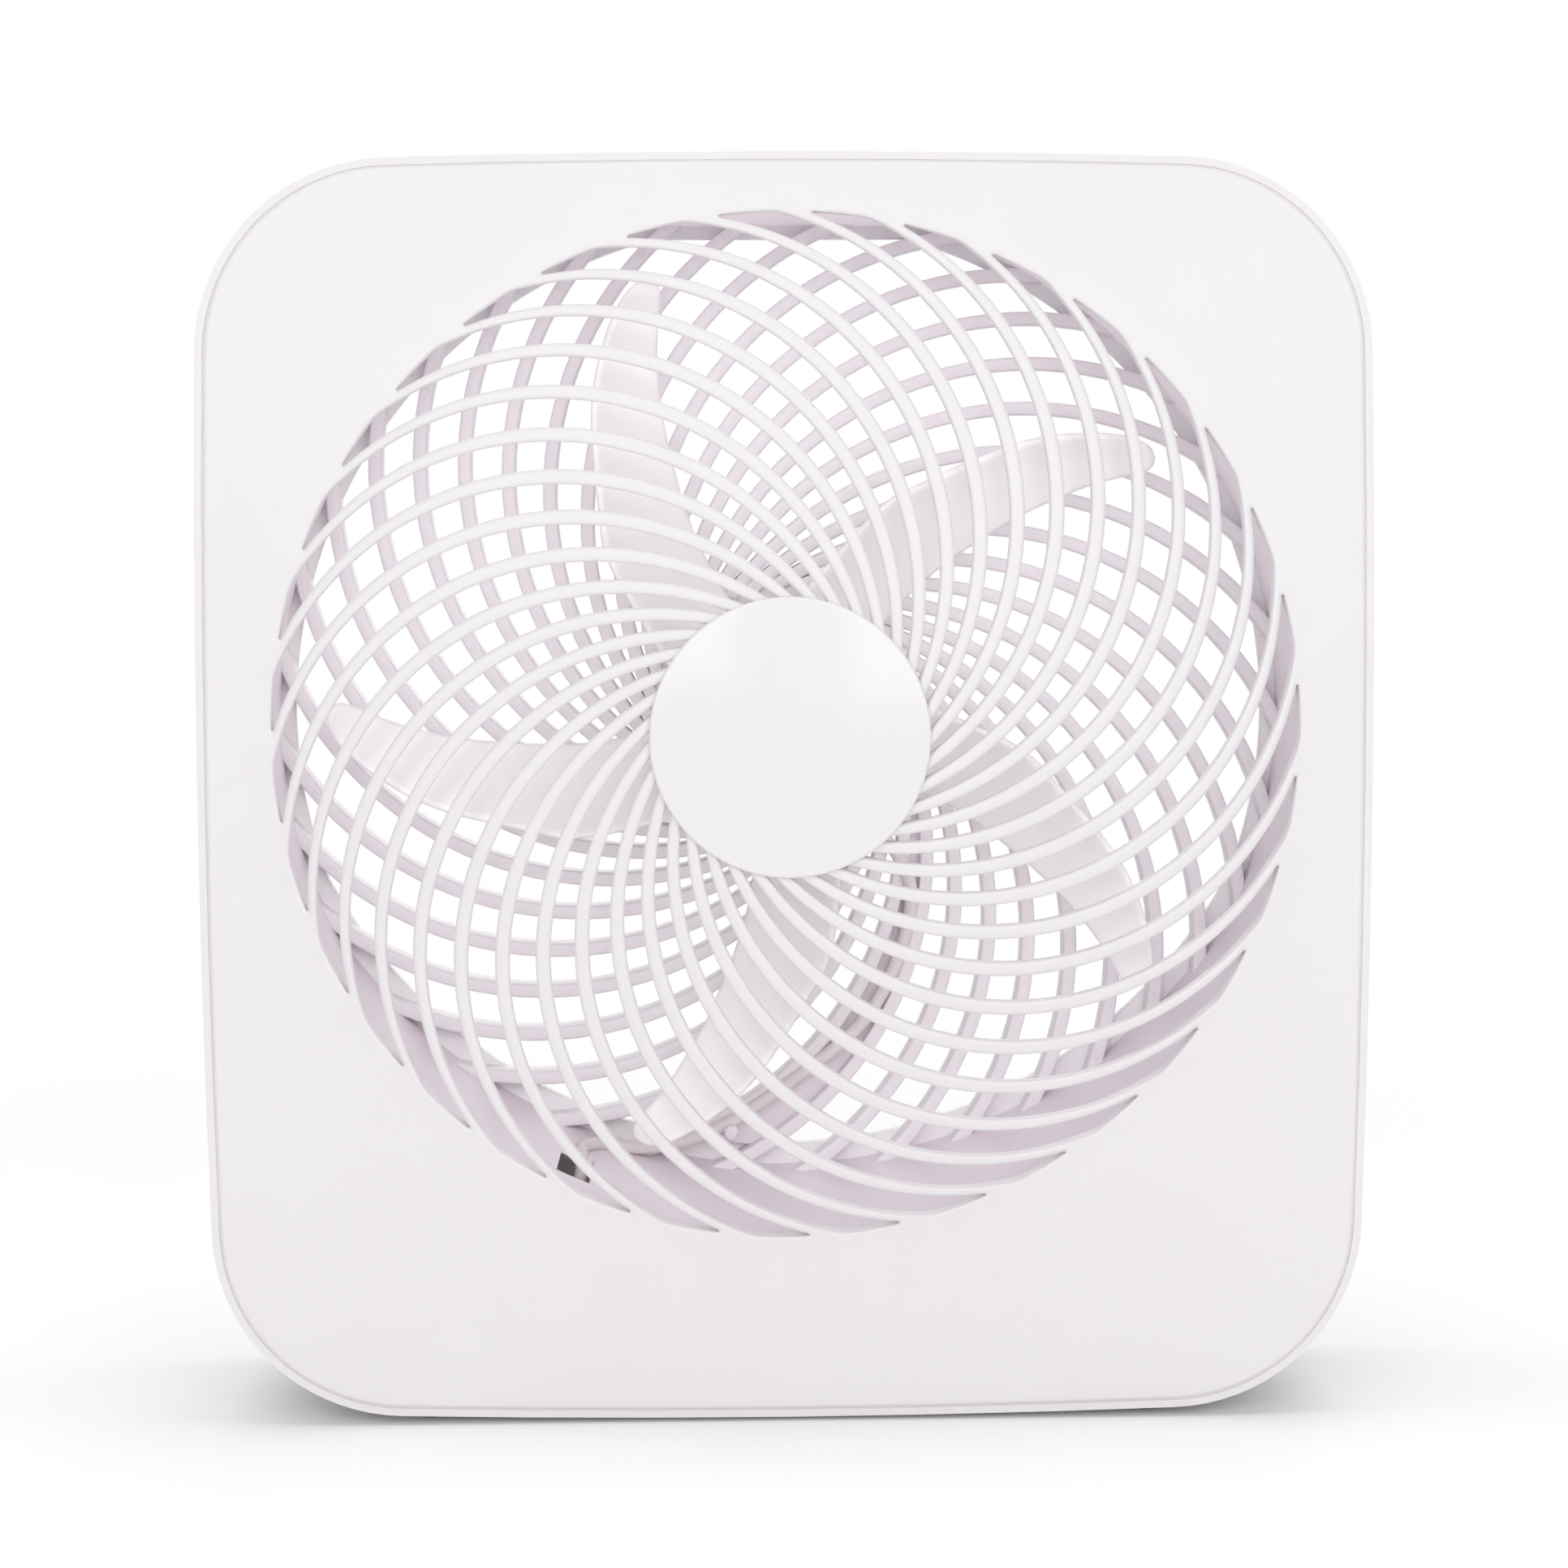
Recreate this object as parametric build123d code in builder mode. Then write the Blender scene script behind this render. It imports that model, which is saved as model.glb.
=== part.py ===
from build123d import *
from math import acos, cos, degrees, radians, sin, sqrt
import os

os.makedirs("parts", exist_ok=True)

# Overall sizes in millimetres. The fan stands on Z = 0 and blows towards -Y.
opening_r = 161.0        # front air opening
casing_w = 368.8         # widest point of the bowed sides
axis_h = 221.0           # fan axis above the floor
top_rise = 179.0         # top of the casing above the fan axis
edge_bow = 3.6           # how far each side falls back towards its corners
corner_r = 61.0
foot_proud = 1.2         # feet below the lowest point of the casing
casing_depth = 84.0
casing_wall = 2.3
back_round = 8.0

# Front panel and its spiral grille
panel_proud = 1.0        # panel face in front of the casing's rim
panel_t = 3.0
panel_round = 1.5
panel_seam = 0.5
skirt_t = 2.0
skirt_depth = 9.0
collar_t = 2.4
collar_depth = 8.0
rib_count = 35
front_rib_w = 4.0
front_rib_depth = 4.5
front_arc_r = 97.5       # plan radius of one rib
front_arc_offset = 72.7  # arc centre from the fan axis
front_arc_turn = -114.86  # bearing of the first arc centre, clockwise from the top
grille_rise = 27.0       # dome of the grille in front of the panel face
grille_blend = 5.0       # width over which the dome runs out on the panel
hub_r = 42.4
hub_wall = 2.6
hub_floor = 3.0
hub_recess = 5.0         # hub floor below the hub ring's front

# Cap on the grille's hub
cap_r = 42.7
cap_t = 1.8
cap_skirt = 2.4
cap_crown = 1.2
cap_proud = 2.2
cap_gap = 0.3
cap_leg_r = 30.0
cap_leg_w = 7.0
cap_leg_t = 1.6
cap_hook = 0.8
cap_leg_count = 3

# Air duct and rear grille
duct_step = 1.0          # duct wall outside the front opening
duct_wall = 2.4
duct_gap = 0.3
rear_rib_w = 4.2
rear_rib_front = 72.0    # rib fronts behind the panel face
rear_rib_depth = 11.0
rear_arc_r = 116.1
rear_arc_offset = 82.7
rear_arc_turn = 111.15
flange_w = 8.0
flange_t = 2.5
flange_fit = 0.2
sill_flat = 156.5        # straight upper edge of the rear opening above the axis
sill_arc_r = 181.8       # shallow lower edge of the rear opening
sill_arc_rise = 38.2
motor_plate_r = 44.0
motor_plate_t = 5.0
peg_r = 2.4
peg_h = 7.0

# Impeller
blade_count = 5
tip_r = 149.0
blade_t = 2.4
blade_turn = -18.0       # bearing of the first blade tip
blade_mid = 48.0         # blade centre plane behind the panel face
root_pitch = 43.0
tip_pitch = 27.0
blade_camber = 3.0
hub_cup_r = 37.0
hub_cup_wall = 2.5
hub_cup_len = 32.0
hub_boss_r = 8.0
hub_boss_len = 9.0
hub_web_t = 2.0
hub_web_depth = 4.0

# Motor
motor_r = 30.0
motor_wall = 1.6
motor_len = 32.0
end_cap_t = 2.5
spigot_depth = 1.5
shaft_r = 3.0
running_gap = 0.04
bush_r = 6.0
bush_len = 6.0
bush_wall = 2.0
tooth_count = 9
tooth_w = 5.0
stack_len = 12.0
stator_ring = 4.0
air_gap = 0.6
rotor_r = 16.0
tooth_tip = 1.6
coil_build = 2.4
motor_screw_circle = 22.0
motor_screw_r = 1.5
motor_screw_turn = 0.0
board_t = 1.6
nut_across = 10.0
nut_t = 5.0
washer_r = 7.0
washer_t = 1.0
shaft_tip = 3.0

# Fasteners that hold the panel
post_r = 4.5
post_len = 14.0
tube_r = 5.2
tube_end = 4.0
screw_r = 1.5
screw_head_r = 3.1
screw_head_t = 2.2
screw_grip = 10.0
screw_slack = 0.4
post_inset = 38.0        # screw posts in from the casing's sides, top and base

# Control recess, switch and power inlet at the back
recess_w = 124.0
recess_h = 28.0
recess_d = 7.0
recess_drop = 192.0      # recess centre below the fan axis
control_x = 34.0
bezel_w = 21.0
bezel_h = 15.0
bezel_t = 1.8
switch_w = 18.8
switch_h = 12.8
switch_len = 14.0
cutout_fit = 0.2
well_w = 14.8
well_h = 9.6
well_d = 8.0
rocker_w = 13.0
rocker_h = 9.0
rocker_tilt = 8.0
pivot_r = 1.0
inlet_r = 5.5
inlet_flange_r = 7.0
inlet_flange_t = 1.5
inlet_len = 14.0
socket_r = 2.9
socket_d = 9.0
inlet_pin_r = 1.0
inlet_nut_across = 14.0
inlet_nut_t = 2.5
terminal_w = 4.8
terminal_t = 0.8
terminal_len = 7.0

# Driver board
board_x = -106.0
board_drop = 178.0
board_w = 56.0
board_h = 34.0
board_stand = 8.0
board_post_r = 3.0
board_screw_r = 1.2
board_screw_head = 2.4
plug_w = 10.0
plug_h = 8.0
plug_d = 8.0
capacitor_r = 5.0
capacitor_len = 12.0

# Leads and feet
lead_r = 2.2
lead_rest = 0.2
lead_bend = 6.0
wire_r = 1.6
wire_bend = 5.0
hole_turn = 24.7         # lead hole in the duct, from the bottom towards the left
hole_depth = 45.0        # lead hole behind the panel face
hole_w = 10.0
hole_len = 18.0
foot_r = 7.0
foot_seat = 1.4
foot_fit = 0.1
foot_x = 115.0
foot_spread = 27.0       # front and rear feet either side of the casing's middle

# Stations along Y
cap_rise = grille_rise + cap_proud
depth = cap_rise + panel_proud + casing_depth
face_y = cap_rise - depth / 2
rim_y = face_y + panel_proud
back_y = depth / 2
plate_y = face_y + panel_t
inner_back = back_y - casing_wall
rib_front_y = face_y + rear_rib_front
rib_back_y = rib_front_y + rear_rib_depth
motor_seat = rib_front_y + 2.0
motor_front = motor_seat - motor_len
recess_y = back_y - recess_d
recess_inner = recess_y - casing_wall
blade_y = face_y + blade_mid
hub_cup_front = motor_front - hub_boss_len - 1.0
base_drop = axis_h - foot_proud
control_z = -recess_drop

duct_r = opening_r + duct_step
duct_outer = duct_r + duct_wall
flange_r = duct_r + flange_w
spigot_r = duct_outer + 2.4
panel_inset = casing_wall + panel_seam
dome_base = opening_r + grille_blend
dome_r = (dome_base**2 + grille_rise**2) / (2 * grille_rise)
hub_front_y = face_y - grille_rise + hub_r**2 / (2 * dome_r)


def fan_plane(y):
    """Plane across the fan axis at depth y, facing the front."""
    return Plane(origin=(0, y, axis_h), x_dir=(1, 0, 0), z_dir=(0, -1, 0))


def outline(inset):
    """Bowed square with round corners, moved inwards by inset."""
    side = casing_w / 2 - inset
    top = top_rise - inset
    base = -base_drop + inset
    middle = (top + base) / 2
    with BuildSketch() as shape:
        with BuildLine():
            right_low = (side - edge_bow, base + edge_bow)
            right_high = (side - edge_bow, top - edge_bow)
            left_high = (-side + edge_bow, top - edge_bow)
            left_low = (-side + edge_bow, base + edge_bow)
            ThreePointArc(left_low, (0, base), right_low)
            ThreePointArc(right_low, (side, middle), right_high)
            ThreePointArc(right_high, (0, top), left_high)
            ThreePointArc(left_high, (-side, middle), left_low)
        make_face()
        fillet(shape.vertices(), radius=corner_r - inset)
    return shape.sketch


def spiral_rib(arc_r, offset, turn, hand, start_r, end_r, width):
    """One curved rib, from radius start_r to end_r about the fan axis."""
    centre = (offset * sin(radians(turn)), offset * cos(radians(turn)))

    def bearing(radius):
        swing = degrees(acos((radius**2 - offset**2 - arc_r**2) / (2 * offset * arc_r)))
        return 90 - turn + hand * swing

    first, last = sorted((bearing(start_r), bearing(end_r)))
    with BuildSketch() as shape:
        with BuildLine():
            outer = CenterArc(centre, arc_r + width / 2, first, last - first)
            inner = CenterArc(centre, arc_r - width / 2, first, last - first)
            Line(outer @ 0, inner @ 0)
            Line(outer @ 1, inner @ 1)
        make_face()
    return shape.sketch


def tube(points, radius, bend):
    """Round lead swept along straight runs joined by equal bends."""
    with BuildPart() as lead:
        with BuildLine() as route:
            FilletPolyline(*points, radius=bend)
        start = route.line @ 0
        with BuildSketch(Plane(origin=start, z_dir=route.line % 0)):
            Circle(radius)
        sweep()
    return lead.part


def save(part, name):
    """Label one piece and write it to its own file."""
    part.label = name
    export_step(part, f"parts/{name}.step")


casing_outer = outline(0)
casing_inner = outline(casing_wall)
panel_outer = outline(panel_inset)
panel_inner = outline(panel_inset + skirt_t)
front_rib = spiral_rib(front_arc_r, front_arc_offset, front_arc_turn, -1, hub_r - hub_wall / 2, dome_base, front_rib_w)
rear_rib = spiral_rib(rear_arc_r, rear_arc_offset, rear_arc_turn, 1, motor_plate_r - 2, duct_r + 3, rear_rib_w)

post_x = casing_w / 2 - post_inset
post_points = [
    (side * post_x, z)
    for side in (-1, 1)
    for z in (top_rise - post_inset, -base_drop + post_inset)
]

# Spiral ribs of the front grille, cut from a domed shell
with BuildPart() as grille_ribs:
    with BuildSketch(fan_plane(plate_y)):
        with PolarLocations(0, rib_count):
            add(front_rib)
    extrude(amount=panel_t + grille_rise + 1)
    with Locations((0, face_y - grille_rise + dome_r, axis_h)):
        Sphere(dome_r, mode=Mode.INTERSECT)
        Sphere(dome_r - front_rib_depth, mode=Mode.SUBTRACT)

with BuildPart() as front_panel:
    with BuildSketch(fan_plane(plate_y)):
        add(panel_outer)
        Circle(opening_r, mode=Mode.SUBTRACT)
    extrude(amount=panel_t)
    fillet(front_panel.edges().group_by(Axis.Y)[0], radius=panel_round)
    with BuildSketch(fan_plane(plate_y)):
        add(panel_outer)
        add(panel_inner, mode=Mode.SUBTRACT)
    extrude(amount=-skirt_depth)
    with BuildSketch(fan_plane(plate_y)):
        Circle(opening_r + collar_t)
        Circle(opening_r, mode=Mode.SUBTRACT)
    extrude(amount=-collar_depth)
    with BuildSketch(fan_plane(plate_y)):
        with Locations(*post_points):
            Circle(post_r)
    extrude(amount=-post_len)
    with BuildSketch(fan_plane(plate_y + post_len)):
        with Locations(*post_points):
            Circle(screw_r)
    extrude(amount=screw_grip + screw_slack, mode=Mode.SUBTRACT)
    with BuildSketch(fan_plane(hub_front_y)):
        Circle(hub_r)
        Circle(hub_r - hub_wall, mode=Mode.SUBTRACT)
    extrude(amount=-hub_recess - hub_floor)
    with BuildSketch(fan_plane(hub_front_y + hub_recess + hub_floor)):
        Circle(hub_r - hub_wall / 2)
        with PolarLocations(cap_leg_r + cap_hook / 2, cap_leg_count, start_angle=90):
            Rectangle(cap_leg_t + cap_hook + 0.4, cap_leg_w + 0.8, mode=Mode.SUBTRACT)
    extrude(amount=hub_floor)
    add(grille_ribs.part)
save(front_panel.part, "front_panel")

# Bare cap that clips into the grille's hub
cap_edge = hub_front_y - cap_gap
cap_leg_end = hub_front_y + hub_recess + hub_floor + 0.2
with BuildPart() as hub_cap:
    with BuildSketch(Plane(origin=(0, 0, axis_h), x_dir=(1, 0, 0), z_dir=(0, 0, 1))):
        with BuildLine():
            front = cap_edge - cap_skirt
            inside = front + cap_t
            ThreePointArc((-cap_r, front), (0, front - cap_crown), (cap_r, front))
            Line((cap_r, front), (cap_r, cap_edge))
            Line((cap_r, cap_edge), (cap_r - cap_t, cap_edge))
            Line((cap_r - cap_t, cap_edge), (cap_r - cap_t, inside))
            ThreePointArc((cap_r - cap_t, inside), (0, inside - cap_crown), (-cap_r + cap_t, inside))
            Line((-cap_r + cap_t, inside), (-cap_r + cap_t, cap_edge))
            Line((-cap_r + cap_t, cap_edge), (-cap_r, cap_edge))
            Line((-cap_r, cap_edge), (-cap_r, front))
        make_face()
        Rectangle(2 * cap_r, 2 * depth, align=(Align.MAX, Align.CENTER), mode=Mode.SUBTRACT)
    revolve(axis=Axis((0, 0, axis_h), (0, 1, 0)))
    with BuildSketch(fan_plane(cap_leg_end + 1.4)):
        with PolarLocations(cap_leg_r, cap_leg_count, start_angle=90):
            Rectangle(cap_leg_t, cap_leg_w)
    extrude(amount=cap_leg_end + 1.4 - front + cap_crown / 2 - cap_t / 2)
    with BuildSketch(fan_plane(cap_leg_end + 1.4)):
        with PolarLocations(cap_leg_r + cap_hook / 2, cap_leg_count, start_angle=90):
            Rectangle(cap_leg_t + cap_hook, cap_leg_w)
    extrude(amount=1.4)
save(hub_cap.part, "hub_cap")

# Space inside the casing's walls
with BuildPart() as casing_space:
    with BuildSketch(fan_plane(inner_back)):
        add(casing_inner)
    extrude(amount=casing_depth)
    fillet(casing_space.edges().group_by(Axis.Y)[-1], radius=back_round - casing_wall)

# Casing with its walls, back, screw tubes and control recess
with BuildPart() as rear_casing:
    with BuildSketch(fan_plane(back_y)):
        add(casing_outer)
    extrude(amount=casing_depth)
    fillet(rear_casing.edges().group_by(Axis.Y)[-1], radius=back_round)
    add(casing_space.part, mode=Mode.SUBTRACT)
    with BuildSketch(fan_plane(inner_back)):
        with Locations(*post_points):
            Circle(tube_r)
    extrude(amount=inner_back - plate_y - post_len)
    with BuildSketch(fan_plane(back_y)):
        with Locations(*post_points):
            Circle(screw_head_r + screw_slack)
    extrude(amount=back_y - plate_y - post_len - tube_end, mode=Mode.SUBTRACT)
    with BuildSketch(fan_plane(back_y)):
        with Locations(*post_points):
            Circle(screw_r + screw_slack / 2)
    extrude(amount=back_y - plate_y - post_len, mode=Mode.SUBTRACT)
    with BuildSketch(fan_plane(back_y)):
        Circle(spigot_r + flange_fit)
    extrude(amount=casing_wall, mode=Mode.SUBTRACT)
    with BuildSketch(fan_plane(inner_back)):
        with Locations((0, control_z)):
            Rectangle(recess_w + 2 * casing_wall, recess_h + 2 * casing_wall)
    extrude(amount=recess_d)
    with BuildSketch(fan_plane(back_y)):
        with Locations((0, control_z)):
            RectangleRounded(recess_w, recess_h, 5)
    extrude(amount=recess_d, mode=Mode.SUBTRACT)
    with BuildSketch(fan_plane(recess_y)):
        with Locations((control_x, control_z)):
            Rectangle(switch_w + 2 * cutout_fit, switch_h + 2 * cutout_fit)
        with Locations((-control_x, control_z)):
            Circle(inlet_r + cutout_fit)
    extrude(amount=casing_wall, mode=Mode.SUBTRACT)
    board_posts = [
        (board_x + side * (board_w / 2 - 4), -board_drop + level * (board_h / 2 - 4))
        for side in (-1, 1)
        for level in (-1, 1)
    ]
    with BuildSketch(fan_plane(inner_back)):
        with Locations(*board_posts):
            Circle(board_post_r)
    extrude(amount=board_stand)
    with BuildSketch(fan_plane(inner_back - board_stand)):
        with Locations(*board_posts):
            Circle(board_screw_r)
    extrude(amount=-board_stand + 1, mode=Mode.SUBTRACT)
    casing_middle = (rim_y + back_y) / 2
    foot_spots = [(x * foot_x, casing_middle + y * foot_spread) for x in (-1, 1) for y in (-1, 1)]
    foot_top = foot_proud + edge_bow * (foot_x / (casing_w / 2)) ** 2 + foot_seat
    with BuildSketch(Plane.XY):
        with Locations(*foot_spots):
            Circle(foot_r + foot_fit)
    extrude(amount=foot_top, mode=Mode.SUBTRACT)
save(rear_casing.part, "rear_casing")

# Round duct wall with the hole that lets the motor lead out
with BuildPart() as duct_ring:
    duct_front = plate_y + collar_depth + duct_gap
    duct_back = inner_back - flange_t
    with BuildSketch(fan_plane(duct_back)):
        Circle(duct_outer)
        Circle(duct_r, mode=Mode.SUBTRACT)
    extrude(amount=duct_back - duct_front)
    out_x = -sin(radians(hole_turn))
    out_z = -cos(radians(hole_turn))
    hole_plane = Plane(
        origin=(duct_r * out_x, face_y + hole_depth, axis_h + duct_r * out_z),
        x_dir=(-out_z, 0, out_x),
        z_dir=(out_x, 0, out_z),
    )
    with BuildSketch(hole_plane):
        RectangleRounded(hole_w, hole_len, 1.5)
    extrude(amount=3 * duct_wall, both=True, mode=Mode.SUBTRACT)
save(duct_ring.part, "duct_ring")

# Rear opening: round, with a straight upper sill and a shallow lower sill
with BuildSketch() as air_opening:
    Circle(duct_r - 1)
    with Locations((0, sill_flat)):
        Rectangle(2 * duct_r, duct_r, align=(Align.CENTER, Align.MIN), mode=Mode.SUBTRACT)
    with Locations((0, sill_arc_rise)):
        Circle(sill_arc_r, mode=Mode.INTERSECT)

# Rear grille: opposed spiral ribs, motor plate, flange and sills
with BuildPart() as rear_grille:
    with BuildSketch(fan_plane(rib_back_y)):
        with PolarLocations(0, rib_count):
            add(rear_rib)
        Circle(duct_r - flange_fit, mode=Mode.INTERSECT)
    extrude(amount=rear_rib_depth)
    with BuildSketch(fan_plane(motor_seat + motor_plate_t)):
        Circle(motor_plate_r)
        Circle(bush_r + bush_wall, mode=Mode.SUBTRACT)
        with PolarLocations(motor_screw_circle, 4, start_angle=motor_screw_turn):
            Circle(motor_screw_r + screw_slack / 2, mode=Mode.SUBTRACT)
    extrude(amount=motor_plate_t)
    with BuildSketch(fan_plane(inner_back)):
        Circle(flange_r)
        add(air_opening.sketch, mode=Mode.SUBTRACT)
    extrude(amount=flange_t)
    with BuildSketch(fan_plane(back_y)):
        Circle(spigot_r)
        add(air_opening.sketch, mode=Mode.SUBTRACT)
    extrude(amount=casing_wall)
    with BuildSketch(fan_plane(rib_front_y)):
        with Locations((-19.5, -136.5)):
            Circle(peg_r)
    extrude(amount=peg_h)
save(rear_grille.part, "rear_grille")

# Impeller: cup that covers the motor, with swept blades
def polar(radius, turn):
    """Point at a radius and a clockwise bearing, seen from the front."""
    return (radius * sin(radians(turn)), radius * cos(radians(turn)))


def blade_band(chord, pitch):
    """Thin curved blade section, tilted by its pitch."""
    with BuildSketch() as band:
        with BuildLine():
            low = ThreePointArc((-chord / 2, -blade_t / 2), (0, blade_camber - blade_t / 2), (chord / 2, -blade_t / 2))
            high = ThreePointArc((-chord / 2, blade_t / 2), (0, blade_camber + blade_t / 2), (chord / 2, blade_t / 2))
            Line(low @ 0, high @ 0)
            Line(low @ 1, high @ 1)
        make_face()
    return band.sketch.rotate(Axis.Z, pitch)


root_r = hub_cup_r - hub_cup_wall / 2
sweep_turn = 30.0        # how far the blade's root trails its tip
leading = [(root_r, -4), (0.42 * tip_r, -8), (0.68 * tip_r, -4.4), (0.92 * tip_r, 1.2)]
trailing = [(0.93 * tip_r, -7.2), (0.70 * tip_r, -17.6), (0.5 * tip_r, -30), (root_r, -52)]
stations = [0.18, 0.4, 0.6, 0.8, 1.02]
bands = [
    (share * tip_r, sweep_turn * (share - 1), root_pitch + (tip_pitch - root_pitch) * share)
    for share in stations
]
sections = [(radius, turn, blade_band(70 - 0.15 * radius, pitch)) for radius, turn, pitch in bands]

with BuildPart() as blade:
    for radius, turn, section in sections:
        bearing_turn = radians(turn + blade_turn)
        out = Vector(sin(bearing_turn), 0, cos(bearing_turn))
        along = Vector(cos(bearing_turn), 0, -sin(bearing_turn))
        with BuildSketch(Plane(origin=Vector(0, blade_y, axis_h) + out * radius, x_dir=along, z_dir=out)):
            add(section)
    loft()
    with BuildSketch(fan_plane(blade_y + tip_r)):
        with BuildLine():
            front_edge = Spline(*[polar(radius, turn + blade_turn) for radius, turn in leading])
            rear_edge = Spline(*[polar(radius, turn + blade_turn) for radius, turn in trailing])
            ThreePointArc(front_edge @ 1, polar(tip_r, blade_turn - 2.4), rear_edge @ 0)
            Line(rear_edge @ 1, front_edge @ 0)
        make_face()
    extrude(amount=2 * tip_r, mode=Mode.INTERSECT)

fan_axis = Axis((0, 0, axis_h), (0, 1, 0))
with BuildPart() as impeller:
    with BuildSketch(fan_plane(hub_cup_front + hub_cup_len)):
        Circle(hub_cup_r)
        Circle(hub_cup_r - hub_cup_wall, mode=Mode.SUBTRACT)
    extrude(amount=hub_cup_len)
    with BuildSketch(fan_plane(hub_cup_front + hub_cup_wall)):
        Circle(hub_cup_r)
    extrude(amount=hub_cup_wall)
    fillet(impeller.edges().group_by(Axis.Y)[0], radius=hub_cup_wall - 0.5)
    with BuildSketch(fan_plane(hub_cup_front + hub_boss_len)):
        Circle(hub_boss_r)
    extrude(amount=hub_boss_len)
    with BuildSketch(fan_plane(hub_cup_front + hub_cup_wall + hub_web_depth)):
        with PolarLocations((hub_boss_r + hub_cup_r) / 2 - hub_cup_wall / 2, blade_count):
            Rectangle(hub_cup_r - hub_boss_r, hub_web_t)
    extrude(amount=hub_web_depth)
    for count in range(blade_count):
        add(blade.part.rotate(fan_axis, 360 / blade_count * count))
    with BuildSketch(fan_plane(hub_cup_front + hub_boss_len)):
        Circle(shaft_r)
    extrude(amount=hub_boss_len, mode=Mode.SUBTRACT)
save(impeller.part, "impeller")

# Shaft, nut and washer that turn with the impeller
nut_y = hub_cup_front - washer_t - nut_t
with BuildPart() as shaft:
    with BuildSketch(fan_plane(motor_seat - 1)):
        Circle(shaft_r)
    extrude(amount=motor_seat - 1 - nut_y + shaft_tip)
    chamfer(shaft.edges(), length=0.5)
save(shaft.part, "shaft")

with BuildPart() as hub_washer:
    with BuildSketch(fan_plane(hub_cup_front)):
        Circle(washer_r)
        Circle(shaft_r, mode=Mode.SUBTRACT)
    extrude(amount=washer_t)
save(hub_washer.part, "hub_washer")

with BuildPart() as hub_nut:
    with BuildSketch(fan_plane(nut_y + nut_t)):
        RegularPolygon(nut_across / 2, 6, major_radius=False)
        Circle(shaft_r, mode=Mode.SUBTRACT)
    extrude(amount=nut_t)
save(hub_nut.part, "hub_nut")

# Motor: housing, bushes, stator, coils, rotor, board and end cap
end_cap_y = motor_seat - end_cap_t
core_r = motor_r - motor_wall
stack_back = motor_front + 2.0 + bush_len + 2.0 + stack_len
lead_angle = 140.5
lead_out = polar(1, lead_angle)
lead_y = rib_front_y - lead_r - lead_rest
with BuildPart() as motor_housing:
    with BuildSketch(fan_plane(end_cap_y)):
        Circle(motor_r)
    extrude(amount=end_cap_y - motor_front)
    fillet(motor_housing.edges().group_by(Axis.Y)[0], radius=1.2)
    with BuildSketch(fan_plane(end_cap_y)):
        Circle(core_r)
    extrude(amount=end_cap_y - motor_front - 2.0, mode=Mode.SUBTRACT)
    with BuildSketch(fan_plane(motor_front + 2.0 + bush_len)):
        Circle(bush_r + bush_wall)
        Circle(bush_r, mode=Mode.SUBTRACT)
    extrude(amount=bush_len)
    with BuildSketch(fan_plane(motor_front + 2.0)):
        Circle(shaft_r + 1.0)
    extrude(amount=2.0, mode=Mode.SUBTRACT)
    with BuildSketch(Plane(origin=(0, lead_y, axis_h), x_dir=(0, 1, 0), z_dir=(lead_out[0], 0, lead_out[1]))):
        Circle(lead_r + 0.1)
    extrude(amount=motor_r + 5, mode=Mode.SUBTRACT)
save(motor_housing.part, "motor_housing")

with BuildPart() as motor_end_cap:
    with BuildSketch(fan_plane(motor_seat)):
        Circle(motor_r)
        Circle(shaft_r + 0.5, mode=Mode.SUBTRACT)
    extrude(amount=end_cap_t)
    with BuildSketch(fan_plane(end_cap_y)):
        Circle(core_r - 0.1)
        Circle(core_r - 2.0, mode=Mode.SUBTRACT)
    extrude(amount=spigot_depth)
    with BuildSketch(fan_plane(end_cap_y)):
        Circle(bush_r + bush_wall)
        Circle(bush_r, mode=Mode.SUBTRACT)
    extrude(amount=bush_len)
    with BuildSketch(fan_plane(end_cap_y)):
        with PolarLocations(motor_screw_circle, 4, start_angle=motor_screw_turn):
            Circle(motor_screw_r + 1.6)
    extrude(amount=3.0)
    with BuildSketch(fan_plane(motor_seat)):
        with PolarLocations(motor_screw_circle, 4, start_angle=motor_screw_turn):
            Circle(motor_screw_r)
    extrude(amount=end_cap_t + 3.0, mode=Mode.SUBTRACT)
    with BuildSketch(Plane(origin=(0, lead_y, axis_h), x_dir=(0, 1, 0), z_dir=(lead_out[0], 0, lead_out[1]))):
        Circle(lead_r + 0.1)
    extrude(amount=motor_r + 5, mode=Mode.SUBTRACT)
save(motor_end_cap.part, "motor_end_cap")

for bush_name, bush_y in (("front_bush", motor_front + 2.0 + bush_len), ("rear_bush", end_cap_y)):
    with BuildPart() as bush:
        with BuildSketch(fan_plane(bush_y)):
            Circle(bush_r)
            Circle(shaft_r + running_gap, mode=Mode.SUBTRACT)
        extrude(amount=bush_len)
    save(bush.part, bush_name)

bore_r = rotor_r + air_gap
with BuildPart() as stator_core:
    with BuildSketch(fan_plane(stack_back)):
        Circle(core_r)
        Circle(core_r - stator_ring, mode=Mode.SUBTRACT)
        with PolarLocations((bore_r + core_r - 1) / 2, tooth_count):
            Rectangle(core_r - 1 - bore_r, tooth_w)
        with PolarLocations(bore_r + tooth_tip / 2, tooth_count):
            Rectangle(tooth_tip, 1.8 * tooth_w)
        Circle(bore_r, mode=Mode.SUBTRACT)
    extrude(amount=stack_len)
save(stator_core.part, "stator_core")

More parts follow.
